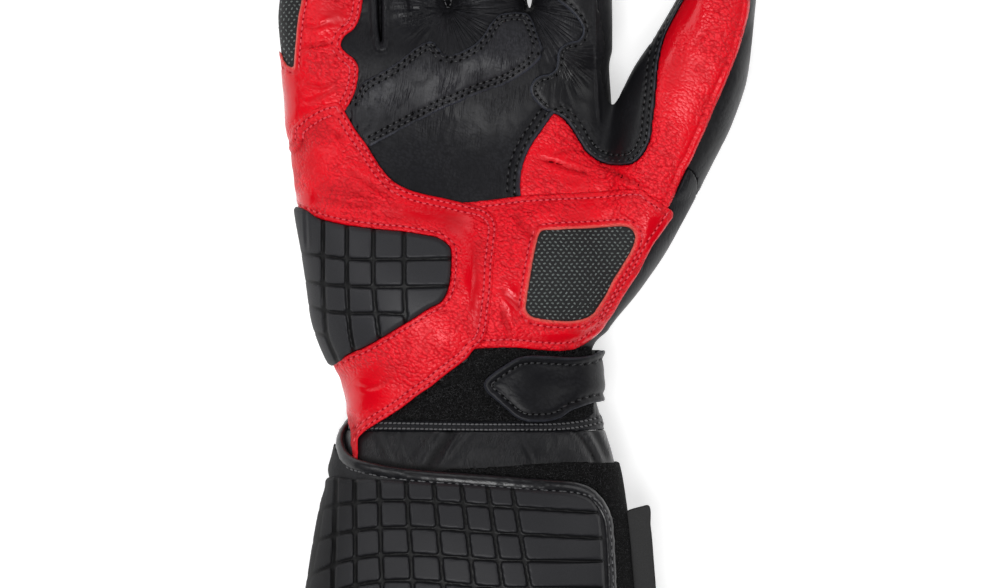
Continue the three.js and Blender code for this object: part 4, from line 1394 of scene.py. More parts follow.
def patch_of(grid, x, y, reach_x, reach_y):
    """1 at a place in the palm view, fading away from it"""
    return np.exp(
        -(((grid.x - across(x)) / (reach_x * SCALE)) ** 2) - ((grid.y - along(y)) / (reach_y * SCALE)) ** 2
    )


def fan(grid, x, y, reach, seed, strength, spread):
    """Furrows that run out from a place, such as the crotch of two fingers"""
    dx = grid.x - across(x)
    dy = grid.y - along(y)
    far = np.hypot(dx, dy)
    angle = np.arctan2(dy, dx)
    lines_out = ridges(angle * spread + 40, np.log(far + 2) * 1.1 + 3, 1.0, seed)
    return -strength * lines_out * step_between(0.5, 4, far) * np.exp(-((far / (reach * SCALE)) ** 2))


def crease(grid, pixels, depth, width):
    """A fold of the leather along a line, with swollen sides, fading out towards its ends"""
    line = line_of(pixels)
    low = line.points.min(axis=0) - 4 * width
    high = line.points.max(axis=0) + 4 * width
    near = (grid.x > low[0]) & (grid.x < high[0]) & (grid.y > low[1]) & (grid.y < high[1])
    change = np.zeros(grid.x.shape)
    if not near.any():
        return change
    away, place = line.measure(grid.x[near], grid.y[near])
    fade = step_between(0, 0.3 * line.length, place) * step_between(line.length, 0.7 * line.length, place)
    sides = 0.45 * bump_at(np.abs(away) - 1.9 * width, 1.1 * width)
    change[near] = depth * fade * (sides - bump_at(away, width))
    return change


def creases(grid, rows):
    """Folds from rows of depth, width and the pixels that each follows, all added up"""
    return sum(crease(grid, pixels, depth, width) for depth, width, pixels in rows)


def red_creases(seed, rows):
    """The folds named in rows, soft swellings and small crinkles in patches"""

    def detail(grid, limits):
        broad = 0.5 + 0.5 * noise(grid.x, grid.y, 17, seed)
        change = -0.1 * ridges(grid.x, grid.y, 3.8, seed + 2) * broad
        swelling = 0.4 * noise(grid.x, grid.y, 10, seed + 4) + 0.15 * noise(grid.x, grid.y, 5, seed + 5)
        return change + creases(grid, rows) + swelling * step_between(-1, -6, limits)

    return detail


def slit_lip(grid):
    """The rolled rim round the slit between little and ring finger, and the distance from the slit"""
    away = column_values(SLIT_GRID, SLIT_MAP, np.stack((grid.x.ravel(), grid.y.ravel()), axis=1))
    away = away.reshape(grid.x.shape)
    return 0.55 * bump_at(away - 1.3, 0.9) - 0.3 * bump_at(away - 2.9, 0.5), away


# Base leather of the hand
COVERS = ("side_panel", "heel_panel", "thenar_panel", "thumb_panel", "thumb_gusset", "palm_grip_patch")
WRIST_BAND = ((352, 426), (400, 425.6), (440, 426.2), (515, 426.6), (566, 425.8), (587, 423.2), (606, 419))
BAND_THREAD = {"thread": "grey", "pitch": 1.5, "depth": 0.3, "room": 0.2}
CROTCH_THREAD = {"thread": "grey", "pitch": 1.7, "depth": 0.3}


def moved_line(pixels, down):
    """The same line further down in the palm view"""
    return tuple((x, y + down) for x, y in pixels)


def unevenness(grid):
    """Soft swellings of the base leather, the same on every piece so that they meet at the seams"""
    return 0.3 * noise(grid.x, grid.y, 15, 17)


def palm_detail(grid):
    """Folds of the palm leather: fans out of the crotches, long wrinkles, the rolled slit, the band"""
    change = fan(grid, *INDEX_CROTCH, 70, 11, 0.5, 7.5)
    change = change + fan(grid, *RING_CROTCH, 80, 12, 0.42, 7.0)
    for place, angle, length, width, seed, strength in (
        ((440, 110, 90, 75), 84, 9, 2.6, 14, 0.16),
        ((470, 150, 70, 55), 78, 11, 3.2, 15, 0.18),
        ((420, 20, 45, 40), 62, 9, 2.6, 16, 0.1),
    ):
        change = change + stretched(grid, angle, length, width, seed, strength) * patch_of(grid, *place)
    change = change + unevenness(grid)
    rolled, slit = slit_lip(grid)
    change = change * step_between(0.5, 4, slit) + rolled
    band = distance_from(WRIST_BAND, grid)
    return change + 0.55 * step_between(2.0, 1.5, np.abs(band))


def darkened(change, strength=0.8, most=0.6):
    """Painted shade in the leather's folds: how much darker their colour is made"""
    return np.clip(-change * strength, 0, most)


def base_leather(name, grid, change, limits, material, **maps):
    """A part of the base shell: a wall under the hand's skin with square edges, and its faces' tree"""
    return make_layer(name, grid, -WALL, change, limits, material, "black_leather", rim=0.15, **maps)


INDEX_RIDGE = ((596, -60), (595, 0), (596, 40), (598, 90), (600, 122))


def finger_fold(grid):
    """The ridge between the front and the side of the index finger"""
    away = distance_from(INDEX_RIDGE, grid)
    return 0.45 * bump_at(away, 0.5) * step_between(along(126), along(112), grid.y)


CROTCHES = (
    ((440, -14), (441.5, -2), (444, 6), (448, 10), (452, 6), (454, -2), (455, -14)),
    ((519, -14), (521, -4), (524, 2), (528, 5), (532, 2), (535, -4), (536, -14)),
)


def climb_to_thumb(grid):
    """How far the palm leather rises beside the thumb panel, up to the panel's face"""
    away = distance_from("thumb_panel", grid)
    near = step_between(6.5, 1.5, np.minimum(np.abs(away), 20))
    outside = step_between(0.3, -0.4, -away)
    lower = step_between(along(203), along(190), grid.y)
    upper = step_between(along(100), along(116), grid.y)
    return 1.75 * near * outside * lower * upper


def make_palm():
    grid = node_grid("palm_shell", FINE_STEP, further=10)
    limits = np.maximum(limits_between(grid, WRIST_LINE, FRONT_LINE), cut_by_thumb(grid))
    covered = np.full(grid.shape[:2], NO_MATTER)
    for name in COVERS:
        covered = np.minimum(covered, distance_from(name, grid))
    change = palm_detail(grid)
    rows = [
        Row(PALM_BLACK_EDGE[::-1], 5 * SCALE),
        Row(PALM_BLACK_EDGE[::-1], 12 * SCALE, phase=0.5),
        Row(moved_line(WRIST_BAND, -3.0), 0.0, **BAND_THREAD),
        Row(moved_line(WRIST_BAND, 2.3), 0.0, **BAND_THREAD),
    ]
    rows += [Row(pixels, 0.9, **CROTCH_THREAD) for pixels in CROTCHES]
    furrows = seam_furrows(grid, rows)
    top = change + climb_to_thumb(grid) - furrows
    edge = step_between(0.65, 0.25, np.abs(distance_from(PALM_BLACK_EDGE, grid)))
    # Painted shade in the folds and stitch furrows, beside the index finger and at the ring root
    tree = base_leather(
        "palm_shell", grid, top, limits, PALM_BLACK, furrow=darkened(change) + furrows, covered=covered,
        edge=edge, dull=patch_of(grid, *INDEX_SIDE), tight=patch_of(grid, *RING_ROOT),
    )
    sew("palm", rows, tree, grid, limits)


FINGER_JOIN = 0.35  # how far the fingers' leather goes under that of the hand
FINGER_ORDER = ("little", "ring", "middle", "index")
TIP_KNUCKLES = -95  # height in the palm view of the folds at the fingers' last knuckles


def between_fingers(y, index):
    """Where one finger ends and the next begins, across the hand"""
    sides = []
    for name, sign in ((FINGER_ORDER[index], 1), (FINGER_ORDER[index + 1], -1)):
        grid, values = DIGIT_TABLES[name]
        sides.append(np.interp(y, grid, values[:, 0]) + sign * np.interp(y, grid, values[:, 2]))
    return (sides[0] + sides[1]) / 2


def finger_limits(grid, index, end):
    """Limits of one finger's leather, which goes down to a height in the palm view"""
    limits = along(end) - grid.y - FINGER_JOIN
    if index:
        limits = np.maximum(limits, between_fingers(grid.y, index - 1) - grid.x)
    if index < len(FINGER_ORDER) - 1:
        limits = np.maximum(limits, grid.x - between_fingers(grid.y, index))
    return limits


def make_fingers():
    for index, name in enumerate(FINGER_ORDER):
        for face, side, step, end in (
            ("front", palm_side, MIDDLE_STEP, FRONT_LINE),
            ("back", back_side, BACK_STEP, FINGER_LINE),
        ):
            node_name = name + "_finger_" + face
            grid = node_grid(node_name, step)
            change = unevenness(grid)
            knuckle = bump_at(grid.y - along(TIP_KNUCKLES), 9)
            change = change + stretched(grid, 8, 9, 2.6, 33 + index, 0.25) * knuckle
            if node_name == "index_finger_front":
                change = change + finger_fold(grid)
            change = change - 0.25 * bump_at(np.maximum(grid.y - along(end), 0), 1.2)
            covered = distance_from("side_panel", grid) if node_name == "little_finger_front" else None
            # Painted shade in the folds and beside the index finger
            base_leather(
                node_name, grid, change, finger_limits(grid, index, end), BLACK, side=side,
                furrow=darkened(change), covered=covered, dull=patch_of(grid, *INDEX_SIDE),
            )


def make_thumb():
    grid = node_grid("thumb_front", MIDDLE_STEP)
    covered = np.minimum(distance_from("thumb_panel", grid), distance_from("thumb_gusset", grid))
    change = unevenness(grid) + stretched(grid, 65, 7, 1.8, 42, 0.1)
    # Painted shade in the thumb's folds
    base_leather(
        "thumb_front", grid, change, distance_from("thumb_region", grid), BLACK, side=thumb_palm_side,
        furrow=darkened(change, 1, 0.5), covered=covered,
    )
    grid = node_grid("thumb_back", BACK_STEP)
    limits = distance_from("thumb_region", grid)
    base_leather(
        "thumb_back", grid, unevenness(grid), limits, BLACK, side=thumb_back_side,
        edge=step_between(-0.6, -0.2, limits),
    )


# Folds of the wrist under the band: depth, width, line
WRIST_FOLDS = (
    (1.0, 1.9, ((460, 410), (453, 424), (446, 438), (438, 449), (431, 460), (424, 486))),
    (0.35, 0.8, ((474, 420), (466, 432), (455, 446), (446, 462))),
    (0.35, 1.0, ((372, 416), (378, 434), (385, 450), (398, 472))),
    (0.3, 0.8, ((406, 420), (400, 438), (402, 452), (412, 470))),
    (0.7, 1.3, ((562, 412), (574, 428), (588, 446), (602, 476))),
    (0.55, 1.1, ((580, 410), (592, 430), (601, 446), (610, 470))),
    (0.25, 0.8, ((518, 420), (522, 440), (530, 456), (536, 474))),
    (0.25, 0.8, ((546, 420), (552, 440), (550, 454), (558, 472))),
)


def gathers(grid):
    """Soft folds where the wrist is drawn in, between the band and the flap"""
    reach = step_between(along(476), along(462), grid.y) * step_between(along(429), along(436), grid.y)
    folds = 0.22 * noise(grid.x + 0.5 * grid.y, grid.y * 0.6, 9, 51)
    return unevenness(grid) + folds * reach + creases(grid, WRIST_FOLDS)


def make_backs():
    for name, lower, upper in (
        ("hand_back", WRIST_LINE, FINGER_LINE), ("gauntlet_back", MOUTH, WRIST_LINE),
    ):
        grid = node_grid(name, BACK_STEP)
        limits = limits_between(grid, lower, upper)
        if name == "hand_back":
            limits = np.maximum(limits, cut_by_thumb(grid))
        base_leather(name, grid, unevenness(grid), limits, BLACK, side=back_side)


def make_gauntlet_front():
    grid = node_grid("gauntlet_front", FINE_STEP)
    flap = distance_from("cuff_flap", grid)
    change = gathers(grid)
    # Painted shade in the folds and a painted shadow along the flap's rolled edge
    flap_shadow = step_between(3.0, 1.2, flap)
    base_leather(
        "gauntlet_front", grid, change, limits_between(grid, MOUTH, WRIST_LINE), WRIST_BLACK,
        furrow=np.maximum(np.clip(-change * 1.3 - 0.1, 0, 0.95), flap_shadow),
        covered=np.minimum(flap + 1.5, distance_from("cuff_loop_pad", grid)),
    )


# Panels of the hand, with the creases of each: depth, width, line
SIDE_CREASES = (
    (0.5, 0.7, ((300, 24), (309, 27), (320, 26), (332, 21))),
    (0.65, 0.75, ((296, 49), (306, 47), (318, 45), (334, 42))),
    (0.5, 0.7, ((297, 80), (308, 84), (320, 87), (340, 81))),
    (0.5, 0.7, ((298, 102), (312, 101), (328, 93), (346, 83))),
    (0.3, 0.6, ((312, 60), (320, 56), (332, 57))),
)
HEEL_CREASES = (
    (0.4, 0.7, ((322, 123), (330, 129), (338, 136), (348, 144))),
    (0.45, 0.8, ((318, 196), (332, 201), (350, 205), (368, 205), (388, 201))),
    (0.35, 0.6, ((346, 191), (360, 195), (374, 199), (390, 207))),
    (0.4, 1.0, ((330, 158), (352, 172), (380, 190), (402, 200))),
    (0.18, 1.5, ((472, 236), (476, 260), (474, 290), (470, 318))),
    (0.35, 0.7, ((352, 385), (368, 388), (382, 384), (396, 374))),
)
THENAR_CREASES = (
    (0.7, 1.3, ((512, 206), (519, 219), (528, 231), (540, 245))),
    (0.4, 1.1, ((497, 280), (505, 293), (516, 303), (527, 316))),
    (0.55, 1.0, ((499, 305), (504, 316), (508, 330), (510, 344))),
    (0.3, 0.8, ((560, 330), (590, 332), (612, 318))),
    (0.3, 0.7, ((505, 240), (512, 256), (512, 272))),
)
THUMB_CREASES = (
    (0.65, 0.9, ((532, 157), (548, 161), (566, 167), (584, 172), (598, 177))),
    (0.5, 0.8, ((548, 156), (560, 152), (574, 149), (590, 153))),
    (0.6, 1.0, ((592, 162), (608, 168), (624, 178), (640, 186), (652, 192))),
    (0.35, 0.6, ((550, 126), (558, 133), (568, 142), (576, 150))),
    (0.35, 0.9, ((686, 56), (697, 42), (710, 30), (726, 20))),
)
ROLL_BREADTH = 2.4  # of the thumb panel's outer edge


def thumb_detail(grid, limits):
    """The thumb panel's creases, and its outer edge rolled over"""
    away = np.abs(distance_from(THUMB_OUTER_EDGE, grid))
    rolled = 0.35 * bump_at(away - 1.3, 0.9) - 0.3 * bump_at(away - ROLL_BREADTH - 0.3, 0.5)
    change = red_creases(80, THUMB_CREASES)(grid, limits) * step_between(1.0, ROLL_BREADTH + 1, away)
    return change + rolled - 0.6 * step_between(0.9, 0.0, away)


def heel_detail(grid, limits):
    """The heel panel's creases; its side grows thin towards the flap's corner"""
    thin = step_between(along(410), along(424), grid.y) * step_between(across(362), across(350), grid.x)
    return red_creases(74, HEEL_CREASES)(grid, limits) - thin


def gusset_detail(grid, limits):
    """The web's ridge along the index finger, and wrinkles out of its corner"""
    return finger_fold(grid) + fan(grid, *WEB_CORNER, 60, 83, 0.25, 9.0)


def grip_detail(grid, limits):
    """Upright wrinkles and soft swellings of the patch over the finger roots"""
    return stretched(grid, 82, 9, 2.4, 84, 0.28) + 0.4 * noise(grid.x, grid.y, 11, 85)


def make_panels():
    window = THENAR_WINDOW + THENAR_WINDOW[:1]
    panel(
        "side_panel", 1.7, RED,
        ((SCALLOP, 3.5, 0), (SCALLOP, 9, 0.5), (LITTLE_PATCH_EDGE, 5.5, 0)),
        cuts=("heel_panel",), holes=("little_finger_patch",), swell=0.6,
        detail=red_creases(71, SIDE_CREASES), pale=((LITTLE_PATCH_EDGE, 0.4),),
    )
    panel(
        "heel_panel", 2.2, RED,
        (
            (HEEL_PALM_EDGE, 3.5, 0), (HEEL_PALM_EDGE, 9, 0.5), (HEEL_TOP, 5, 0), (HEEL_TOP, 13, 0),
            (HEEL_WINDOW_EDGE, 5, 0),
        ),
        holes=("heel_window",), swell=0.55, detail=heel_detail,
    )
    panel(
        "thenar_panel", 1.7, RED,
        ((THENAR_TOP, 6, 0), (THENAR_SIDE, 7, 0), (THENAR_BOTTOM, 8, 0), (window, 7, 0)),
        cuts=("heel_panel",), holes=("thenar_window",), swell=0.45,
        detail=red_creases(77, THENAR_CREASES), pale=((window, 0.7),),
    )
    panel(
        "thumb_panel", 1.3, RED, (), cuts=("thenar_panel", "heel_panel", "thumb_gusset"),
        side=thumb_palm_side, detail=thumb_detail,
    )
    panel(
        "thumb_gusset", 1.75, GUSSET_BLACK,
        ((GUSSET_THUMB_EDGE, 4, 0), (GUSSET_THUMB_EDGE, 9.5, 0.5), (GUSSET_PALM_EDGE, 5, 0)),
        side=thumb_palm_side, detail=gusset_detail,
        pale=((GUSSET_PALM_EDGE, 0.22), (GUSSET_THUMB_EDGE, 0.18)),
    )
    panel(
        "palm_grip_patch", 1.2, GRIP_BLACK,
        ((GRIP_TOP, 3.5, 0), (GRIP_TOP, 8, 0.5), (GRIP_BOTTOM, 5, 0), (GRIP_BOTTOM, 9.5, 0.5)),
        cuts=("side_panel", "heel_panel", "thumb_gusset"), detail=grip_detail,
        pale=((GRIP_BOTTOM, 0.3), (GRIP_TOP, 0.15)),
    )


# Rubber
GROOVE_DEPTH = 1.15
GROOVE_WIDTHS = (3.7 * SCALE, 2.7 * SCALE)  # of the upright and of the level grooves
GROOVE_SIDE = 0.32  # breadth of a groove's sloping side
CELL_CORNER = 0.9  # rounding of the cells' corners


def grooves(grid, groups):
    """Two crossing groups of grooves, from 0 on the faces of the cells to 1 at the bottom"""
    nearest = []
    for group, width in zip(groups, GROOVE_WIDTHS):
        away = np.full(grid.shape[:2], 50.0)
        for pixels in group:
            away = np.minimum(away, np.abs(distance_from(pixels, grid)))
        nearest.append(away - width / 2)
    return 1 - step_between(-0.12, GROOVE_SIDE, smooth_min(*nearest, CELL_CORNER))


HEEL_COLUMNS = (
    ((323.6, 200), (323.6, 282), (324.7, 308), (327.4, 336), (336.6, 359), (342, 372)),
    ((347.5, 200), (348, 286), (349, 313), (352.4, 341), (356, 356)),
    ((375, 200), (374.6, 287), (377, 313), (379, 328), (381, 342)),
    ((404.4, 200), (405, 286), (406, 314), (407, 330)),
)
HEEL_ROWS = (
    ((FAR_LEFT, 251), (308, 254), (323.6, 256), (347.5, 259), (402, 259.7), (460, 258.6)),
    ((FAR_LEFT, 278), (308, 281), (323.6, 284), (348.6, 286), (405, 287), (460, 286)),
    ((FAR_LEFT, 303), (314, 307), (326, 310.6), (349, 313), (378, 313), (407, 314.4)),
    ((FAR_LEFT, 328), (317, 333), (327, 335.6)),
)
HEEL_FOLD = ((305, 200), (305.5, 222), (307, 254))
GRID_ROWS = ((501, 505, 511), (528.6, 531, 536), (556, 557, 558.5), (582.5, 584, 585), (610, 610, 611))
GRID_ROW_PLACES = (357, 512, 600)
GRID_BEND_PLACES = (296, 308, 320, 332, 344)  # where the rows bend down towards the glove's side
GRID_BEND_REACH = 37
GRID_COLUMN_PLACES = (356.5, 382, 411, 440, 469, 496, 521.5)
GRID_COLUMN_LEVEL = 540
GRID_LEAN_MIDDLE = 345
GRID_LEAN = 0.001  # how much a column leans for each pixel that it is away from there
GRID_LEFT_COLUMNS = (
    ((327, 460), (325, 480), (319.5, 528), (311.5, 570), (305, 600), (300, 640)),
    ((337, 460), (336.7, 482), (335.6, 538), (334.4, 570), (334, 640)),
)


def make_rubber(name, outline, material, groups, height, low, skin, table, dim, bevel, fold=None):
    """A moulded piece with cells, whose grooves grow shallow towards the glove's side, with painted shade in
    its grooves. Dim is how much painted shade that side gets, and how much rougher it is."""
    grid = node_grid(name, RUBBER_STEP)
    room = from_side(table, grid)
    limits = distance_from(outline, grid) + 0.1
    limits -= 1.1 * step_between(5.0, 1.0, room)
    cells = grooves(grid, groups)
    share = 0.12 + 0.88 * step_between(-2.5, 5.0, room)
    top = height - GROOVE_DEPTH * cells * share
    top -= 0.7 * step_between(-bevel, -0.1, limits)
    top -= 0.15 * noise(grid.x, grid.y, 14, 141)
    if fold:
        top += crease(grid, fold, 0.35, 0.5)
    # Painted shade: dark grooves, and a darker side where dim is given
    make_layer(
        name, grid, low, top, limits, material, "moulded_rubber", cells, skin=skin, rim=0.4,
        dull=dim * step_between(13.0, 3.0, room),
    )


def make_heel_slider():
    make_rubber(
        "heel_slider", "heel_window", RUBBER, (HEEL_COLUMNS, HEEL_ROWS), height=3.4, low=0.0,
        skin=hand_skin, table=BODY_TABLE, dim=0.35, bevel=1.4, fold=HEEL_FOLD,
    )


def make_cuff_grid():
    rows = []
    for index, heights in enumerate(GRID_ROWS):
        drop = 8 + 3 * index
        bend = tuple(
            (x, heights[0] + drop * ((GRID_ROW_PLACES[0] - x) / GRID_BEND_REACH) ** 1.4)
            for x in GRID_BEND_PLACES
        )
        rows.append(bend + tuple(zip(GRID_ROW_PLACES, heights)))
    columns = [
        tuple((x + (x - GRID_LEAN_MIDDLE) * (y - GRID_COLUMN_LEVEL) * GRID_LEAN, y) for y in (440, 570, 700))
        for x in GRID_COLUMN_PLACES
    ]
    make_rubber(
        "cuff_flap_grid", "cuff_flap_grid", SHADED_GRID_RUBBER, ((*columns, *GRID_LEFT_COLUMNS), rows),
        height=3.6, low=0.9, skin=flap_skin, table=FLAP_TABLE, dim=0.85, bevel=1.0,
    )


# Patches covered with small plates
PATCH_THICKNESS = 0.9
PLATE_PITCH_X = 5.4 * SCALE
PLATE_PITCH_Y = 3.6 * SCALE
PLATE_SIZE = (0.95, 0.52, 0.42)
PLATE_SHIFT = 0.12  # how unevenly the plates lie and how far they are turned
PLATE_TURN = 0.85


def make_patch(name, outline, seed):
    """A patch of woven cloth with its plates in staggered rows"""
    grid = node_grid(name, FINE_STEP)
    limits = distance_from(outline, grid) - 0.6
    top = np.full(grid.shape[:2], PATCH_THICKNESS)
    tree = make_layer(name, grid, 0.0, top, limits, WEAVE, "plate_fabric")
    random = np.random.default_rng(seed)
    plates = []
    for row, y in enumerate(np.arange(grid.axes[1][0], grid.axes[1][-1], PLATE_PITCH_Y)):
        x = np.arange(grid.axes[0][0], grid.axes[0][-1], PLATE_PITCH_X) + (row % 2) * PLATE_PITCH_X / 2
        shifts = random.uniform(-PLATE_SHIFT, PLATE_SHIFT, (len(x), 2))
        spots = np.stack((x, np.full(len(x), y)), axis=1) + shifts
        turns = random.uniform(-PLATE_TURN, PLATE_TURN, len(x))
        good = column_values(grid, limits, spots) < -0.75
        for (spot_x, spot_y), turn in zip(spots[good], turns[good]):
            found = on_surface(tree, spot_x, spot_y, (math.cos(turn), math.sin(turn)))
            if found:
                plates.append(found)
    rods(name + "_plates", plates, PLATE_SIZE, PLATE)


# Fuzzy fastener pads
PAD_THICKNESS = 1.5
HAIR_RADIUS = 0.08
HAIR_RISE = (0.25, 0.6)
HAIR_REACH = (0.4, 1.1)
HAIR_ROOT = 0.1  # how deep a hair starts in the pad
HAIR_FACES = ((0, 1, 3), (1, 2, 3), (2, 0, 3), (2, 1, 0))  # three points at the root, one at the tip


def make_pad(name, cuts, seed, count):
    """A pad and its hairs. Cuts are the pieces that it runs under."""
    grid = node_grid(name, MIDDLE_STEP)
    limits = distance_from(name, grid)
    middle, half = look_up(BODY_TABLE, grid.axes[1])[:2]
    calm = step_between(-1, 7, (middle + half)[None, :] - grid.x)
    unrest = 0.3 * noise(grid.x, grid.y, 1.4, seed) + 0.2 * noise(grid.x, grid.y, 6, seed + 1)
    top = PAD_THICKNESS + calm * unrest
    for cut in cuts:
        away = distance_from(cut, grid)
        limits = np.maximum(limits, -away - 1.0)
        top -= 1.0 * step_between(2.0, 0.3, away)
    tree = make_layer(name, grid, 0.0, top, limits, FUZZ, "loop_fabric", rim=0.9)
    random = np.random.default_rng(seed + 2)
    lowest, highest = ([axis[end] for axis in grid.axes[:2]] for end in (0, -1))
    spots = random.uniform(lowest, highest, (count, 2))
    spots = spots[column_values(grid, limits, spots) < -0.3]
    frames = [on_surface(tree, x, y, (1, 0)) for x, y in spots]
    base, _, up = stacked([found for found in frames if found])
    total = len(base)
    lean = random.normal(0, 1, (total, 3))
    lean -= up * np.sum(lean * up, axis=1)[:, None]
    lean /= np.linalg.norm(lean, axis=1)[:, None]
    rise = random.uniform(*HAIR_RISE, total)[:, None]
    reach = random.uniform(*HAIR_REACH, total)[:, None]
    side = np.cross(lean, up)
    points = [
        base - HAIR_ROOT * up + HAIR_RADIUS * (math.cos(angle) * side + math.sin(angle) * up)
        for angle in round_angles(3)
    ]
    points.append(base + up * rise + lean * reach)
    points = np.stack(points, axis=1).reshape(-1, 3)
    faces = [[corner + 4 * i for corner in face] for i in range(total) for face in HAIR_FACES]
    add_mesh(name + "_fibres", points, faces, HAIR)


# Wrist strap
STRAP_TOP = 4.1
STRAP_LOW = 2.0
STRAP_ROW = 7.5 * SCALE
STRAP_BACK = (350, 401.6, 470)  # upper, lower and left end of the strap on the hand's back


def make_strap():
    grid = node_grid("wrist_strap", FINE_STEP)
    front = distance_from("strap_front", grid)
    upper, lower, left = STRAP_BACK
    back = np.maximum(across(left) - grid.x, limits_between(grid, lower, upper))
    rows = [Row(STRAP_TIP, STRAP_ROW)]
    furrows = seam_furrows(grid, rows)
    inner = -front
    top = STRAP_TOP + 0.35 * bump_at(inner - 1.1, 0.8) + 0.35 * step_between(3.0, 6.5, inner)
    top = top - furrows - 0.25 * bump_at(inner - 2.9, 0.5)
    top = top + stretched(grid, 5, 6, 1.8, 91, 0.05)
    thin = step_between(along(386), along(400), grid.y) * step_between(across(575), across(598), grid.x)
    top = top - 1.1 * thin

    def ends(x, y, z):
        """The strap's outline over the seam of the hand, and its straight run round the back under it"""
        columns = np.stack((x, y), axis=1)
        over = column_values(grid, front, columns)
        under = column_values(grid, back, columns)
        return np.maximum(np.where(z > seam_height(SIDE_SEAM, y), over, under), -z)

    # The stitch furrows carry painted shade into the colour
    tree = make_layer(
        "wrist_strap", grid, STRAP_LOW, top, np.minimum(front, back), STRAP_BLACK, "black_leather",
        furrows, side=ends, rim=0.3, edge=0.55 * step_between(0.55, 0.1, np.abs(front)),
    )
    sew("wrist_strap", rows, tree, grid, front)


# The cuff's flap with its rolled edge
def make_flap():
    grid = node_grid("cuff_flap", FINE_STEP)
    limits = np.maximum(distance_from("cuff_flap", grid) + 1.0, along(MOUTH) - grid.y)
    top = np.full(grid.shape[:2], 1.7)
    # Painted shade on the side of the flap that turns down
    make_layer(
        "cuff_flap", grid, 0.0, top, limits, BLACK, "black_leather", skin=flap_skin, rim=0.4,
        covered=distance_from("cuff_flap_grid", grid),
        dull=0.8 * step_between(10.0, 2.0, from_side(FLAP_TABLE, grid)),
    )


def flap_section(y):
    """Middle and half breadth, middle and half depth of the flap at a place, and how boxy it is"""
    return look_up(FLAP_TABLE, np.array([y]))[:, 0]


def flap_place(x, y, lift):
    """The place over a point of the palm view on the flap's skin"""
    middle_x, half_x, middle_z, half_z, square = flap_section(y)
    u = min(abs(x - middle_x) / (half_x + lift), 1)
    return Vector((x, y, middle_z + (half_z + lift) * (1 - u**square) ** (1 / square)))


def flap_side(y, angle, lift):
    """The place on the flap's skin at an angle round it, in degrees from +X"""
    middle_x, half_x, middle_z, half_z, square = flap_section(y)
    power = 2 / square
    cos, sin = math.cos(math.radians(angle)), math.sin(math.radians(angle))
    u = math.copysign(abs(cos) ** power, cos)
    w = math.copysign(abs(sin) ** power, sin)
    return Vector((middle_x + (half_x + lift) * u, y, middle_z + (half_z + lift) * w))


# Where the binding comes round the glove's side: y in the palm view, angle round the flap
BINDING_START = (
    (421, 204), (424, 194), (428, 185), (433, 178), (439, 172), (446, 167), (452, 162), (457, 157),
)
BINDING_INSET = 1.8
BINDING_BREADTH = 2.3
BINDING_RISE = 1.6
BINDING_SIDES = 14
BINDING_SMOOTHING = 2  # neighbours on each side that a point of its path is smoothed with
BINDING_STITCH_SIZE = (1.4, 0.5, 0.5)


def binding_path():
    """The binding's middle line, from the glove's side along the flap's edge"""
    line = line_of(FLAP_EDGE)
    path = [flap_side(along(y), angle, 0.9) for y, angle in BINDING_START]
    start = int(np.argmax((line.points[:, 0] > path[-1].x + 1) & (line.points[:, 1] < path[-1].y)))
    path += [flap_place(x, y, 1.0) for x, y in (line.points + BINDING_INSET * line.normals)[start::3]]
    smooth = []
    for i in range(len(path)):
        near = path[max(i - BINDING_SMOOTHING, 0) : i + BINDING_SMOOTHING + 1]
        smooth.append(sum(near, Vector()) / len(near))
    return smooth


def make_binding():
    """The rolled leather round the flap's edge: a flattened roll with stitches at its inner side"""
    path = binding_path()
    points, faces, stitches = [], [], []
    length = 0.0
    wrinkle = np.random.default_rng(95).uniform(-0.12, 0.12, len(path))
    for i, point in enumerate(path):
        way = (path[min(i + 1, len(path) - 1)] - path[max(i - 1, 0)]).normalized()
        middle = Vector((flap_section(point.y)[0], point.y, 30))
        up = (point - middle).normalized()
        up = (up - way * up.dot(way)).normalized()
        side = way.cross(up)
        for angle in round_angles(BINDING_SIDES):
            swell = 1 + wrinkle[i] * (0.5 + 0.5 * math.sin(angle))
            breadth = side * (BINDING_BREADTH * math.cos(angle))
            rise = up * (BINDING_RISE * swell * math.sin(angle))
            points.append(tuple(point + breadth + rise))
        if i:
            for k in range(BINDING_SIDES):
                a = (i - 1) * BINDING_SIDES + k
                b = (i - 1) * BINDING_SIDES + (k + 1) % BINDING_SIDES
                faces.append((a, b, b + BINDING_SIDES, a + BINDING_SIDES))
            length += (point - path[i - 1]).length
            while length > PITCH:
                length -= PITCH
                stitches.append((point + side * 1.3 + up * 1.42, way, (up + side * 0.5).normalized()))
    faces.append(tuple(range(BINDING_SIDES))[::-1])
    faces.append(tuple(range(len(points) - BINDING_SIDES, len(points))))
    add_mesh("cuff_flap_binding", points, faces, BINDING, ("cuff_flap_binding",))
    rods("binding_thread", stitches, BINDING_STITCH_SIZE, GREY_THREAD)


LABEL_HEIGHT = 33.7
LABEL_WAVE = 0.5
LABEL_WAVE_LENGTH = 9
LABEL_HALF = 0.7  # half its thickness


def make_label():
    """The folded tab: a flat ribbon that waves a little"""
    grid = node_grid("cuff_label", LABEL_STEP)
    limits = distance_from("cuff_label", grid)
    _, y, z = np.meshgrid(*grid.axes, indexing="ij")
    height = LABEL_HEIGHT + LABEL_WAVE * np.sin(y / LABEL_WAVE_LENGTH)
    field = smooth_max(np.abs(z - height) - LABEL_HALF, limits[:, :, None], 0.5)
    points, quads = surface_of(grid, field)
    add_mesh("cuff_label", points, quads.tolist(), LABEL_CLOTH, ("cuff_label",))


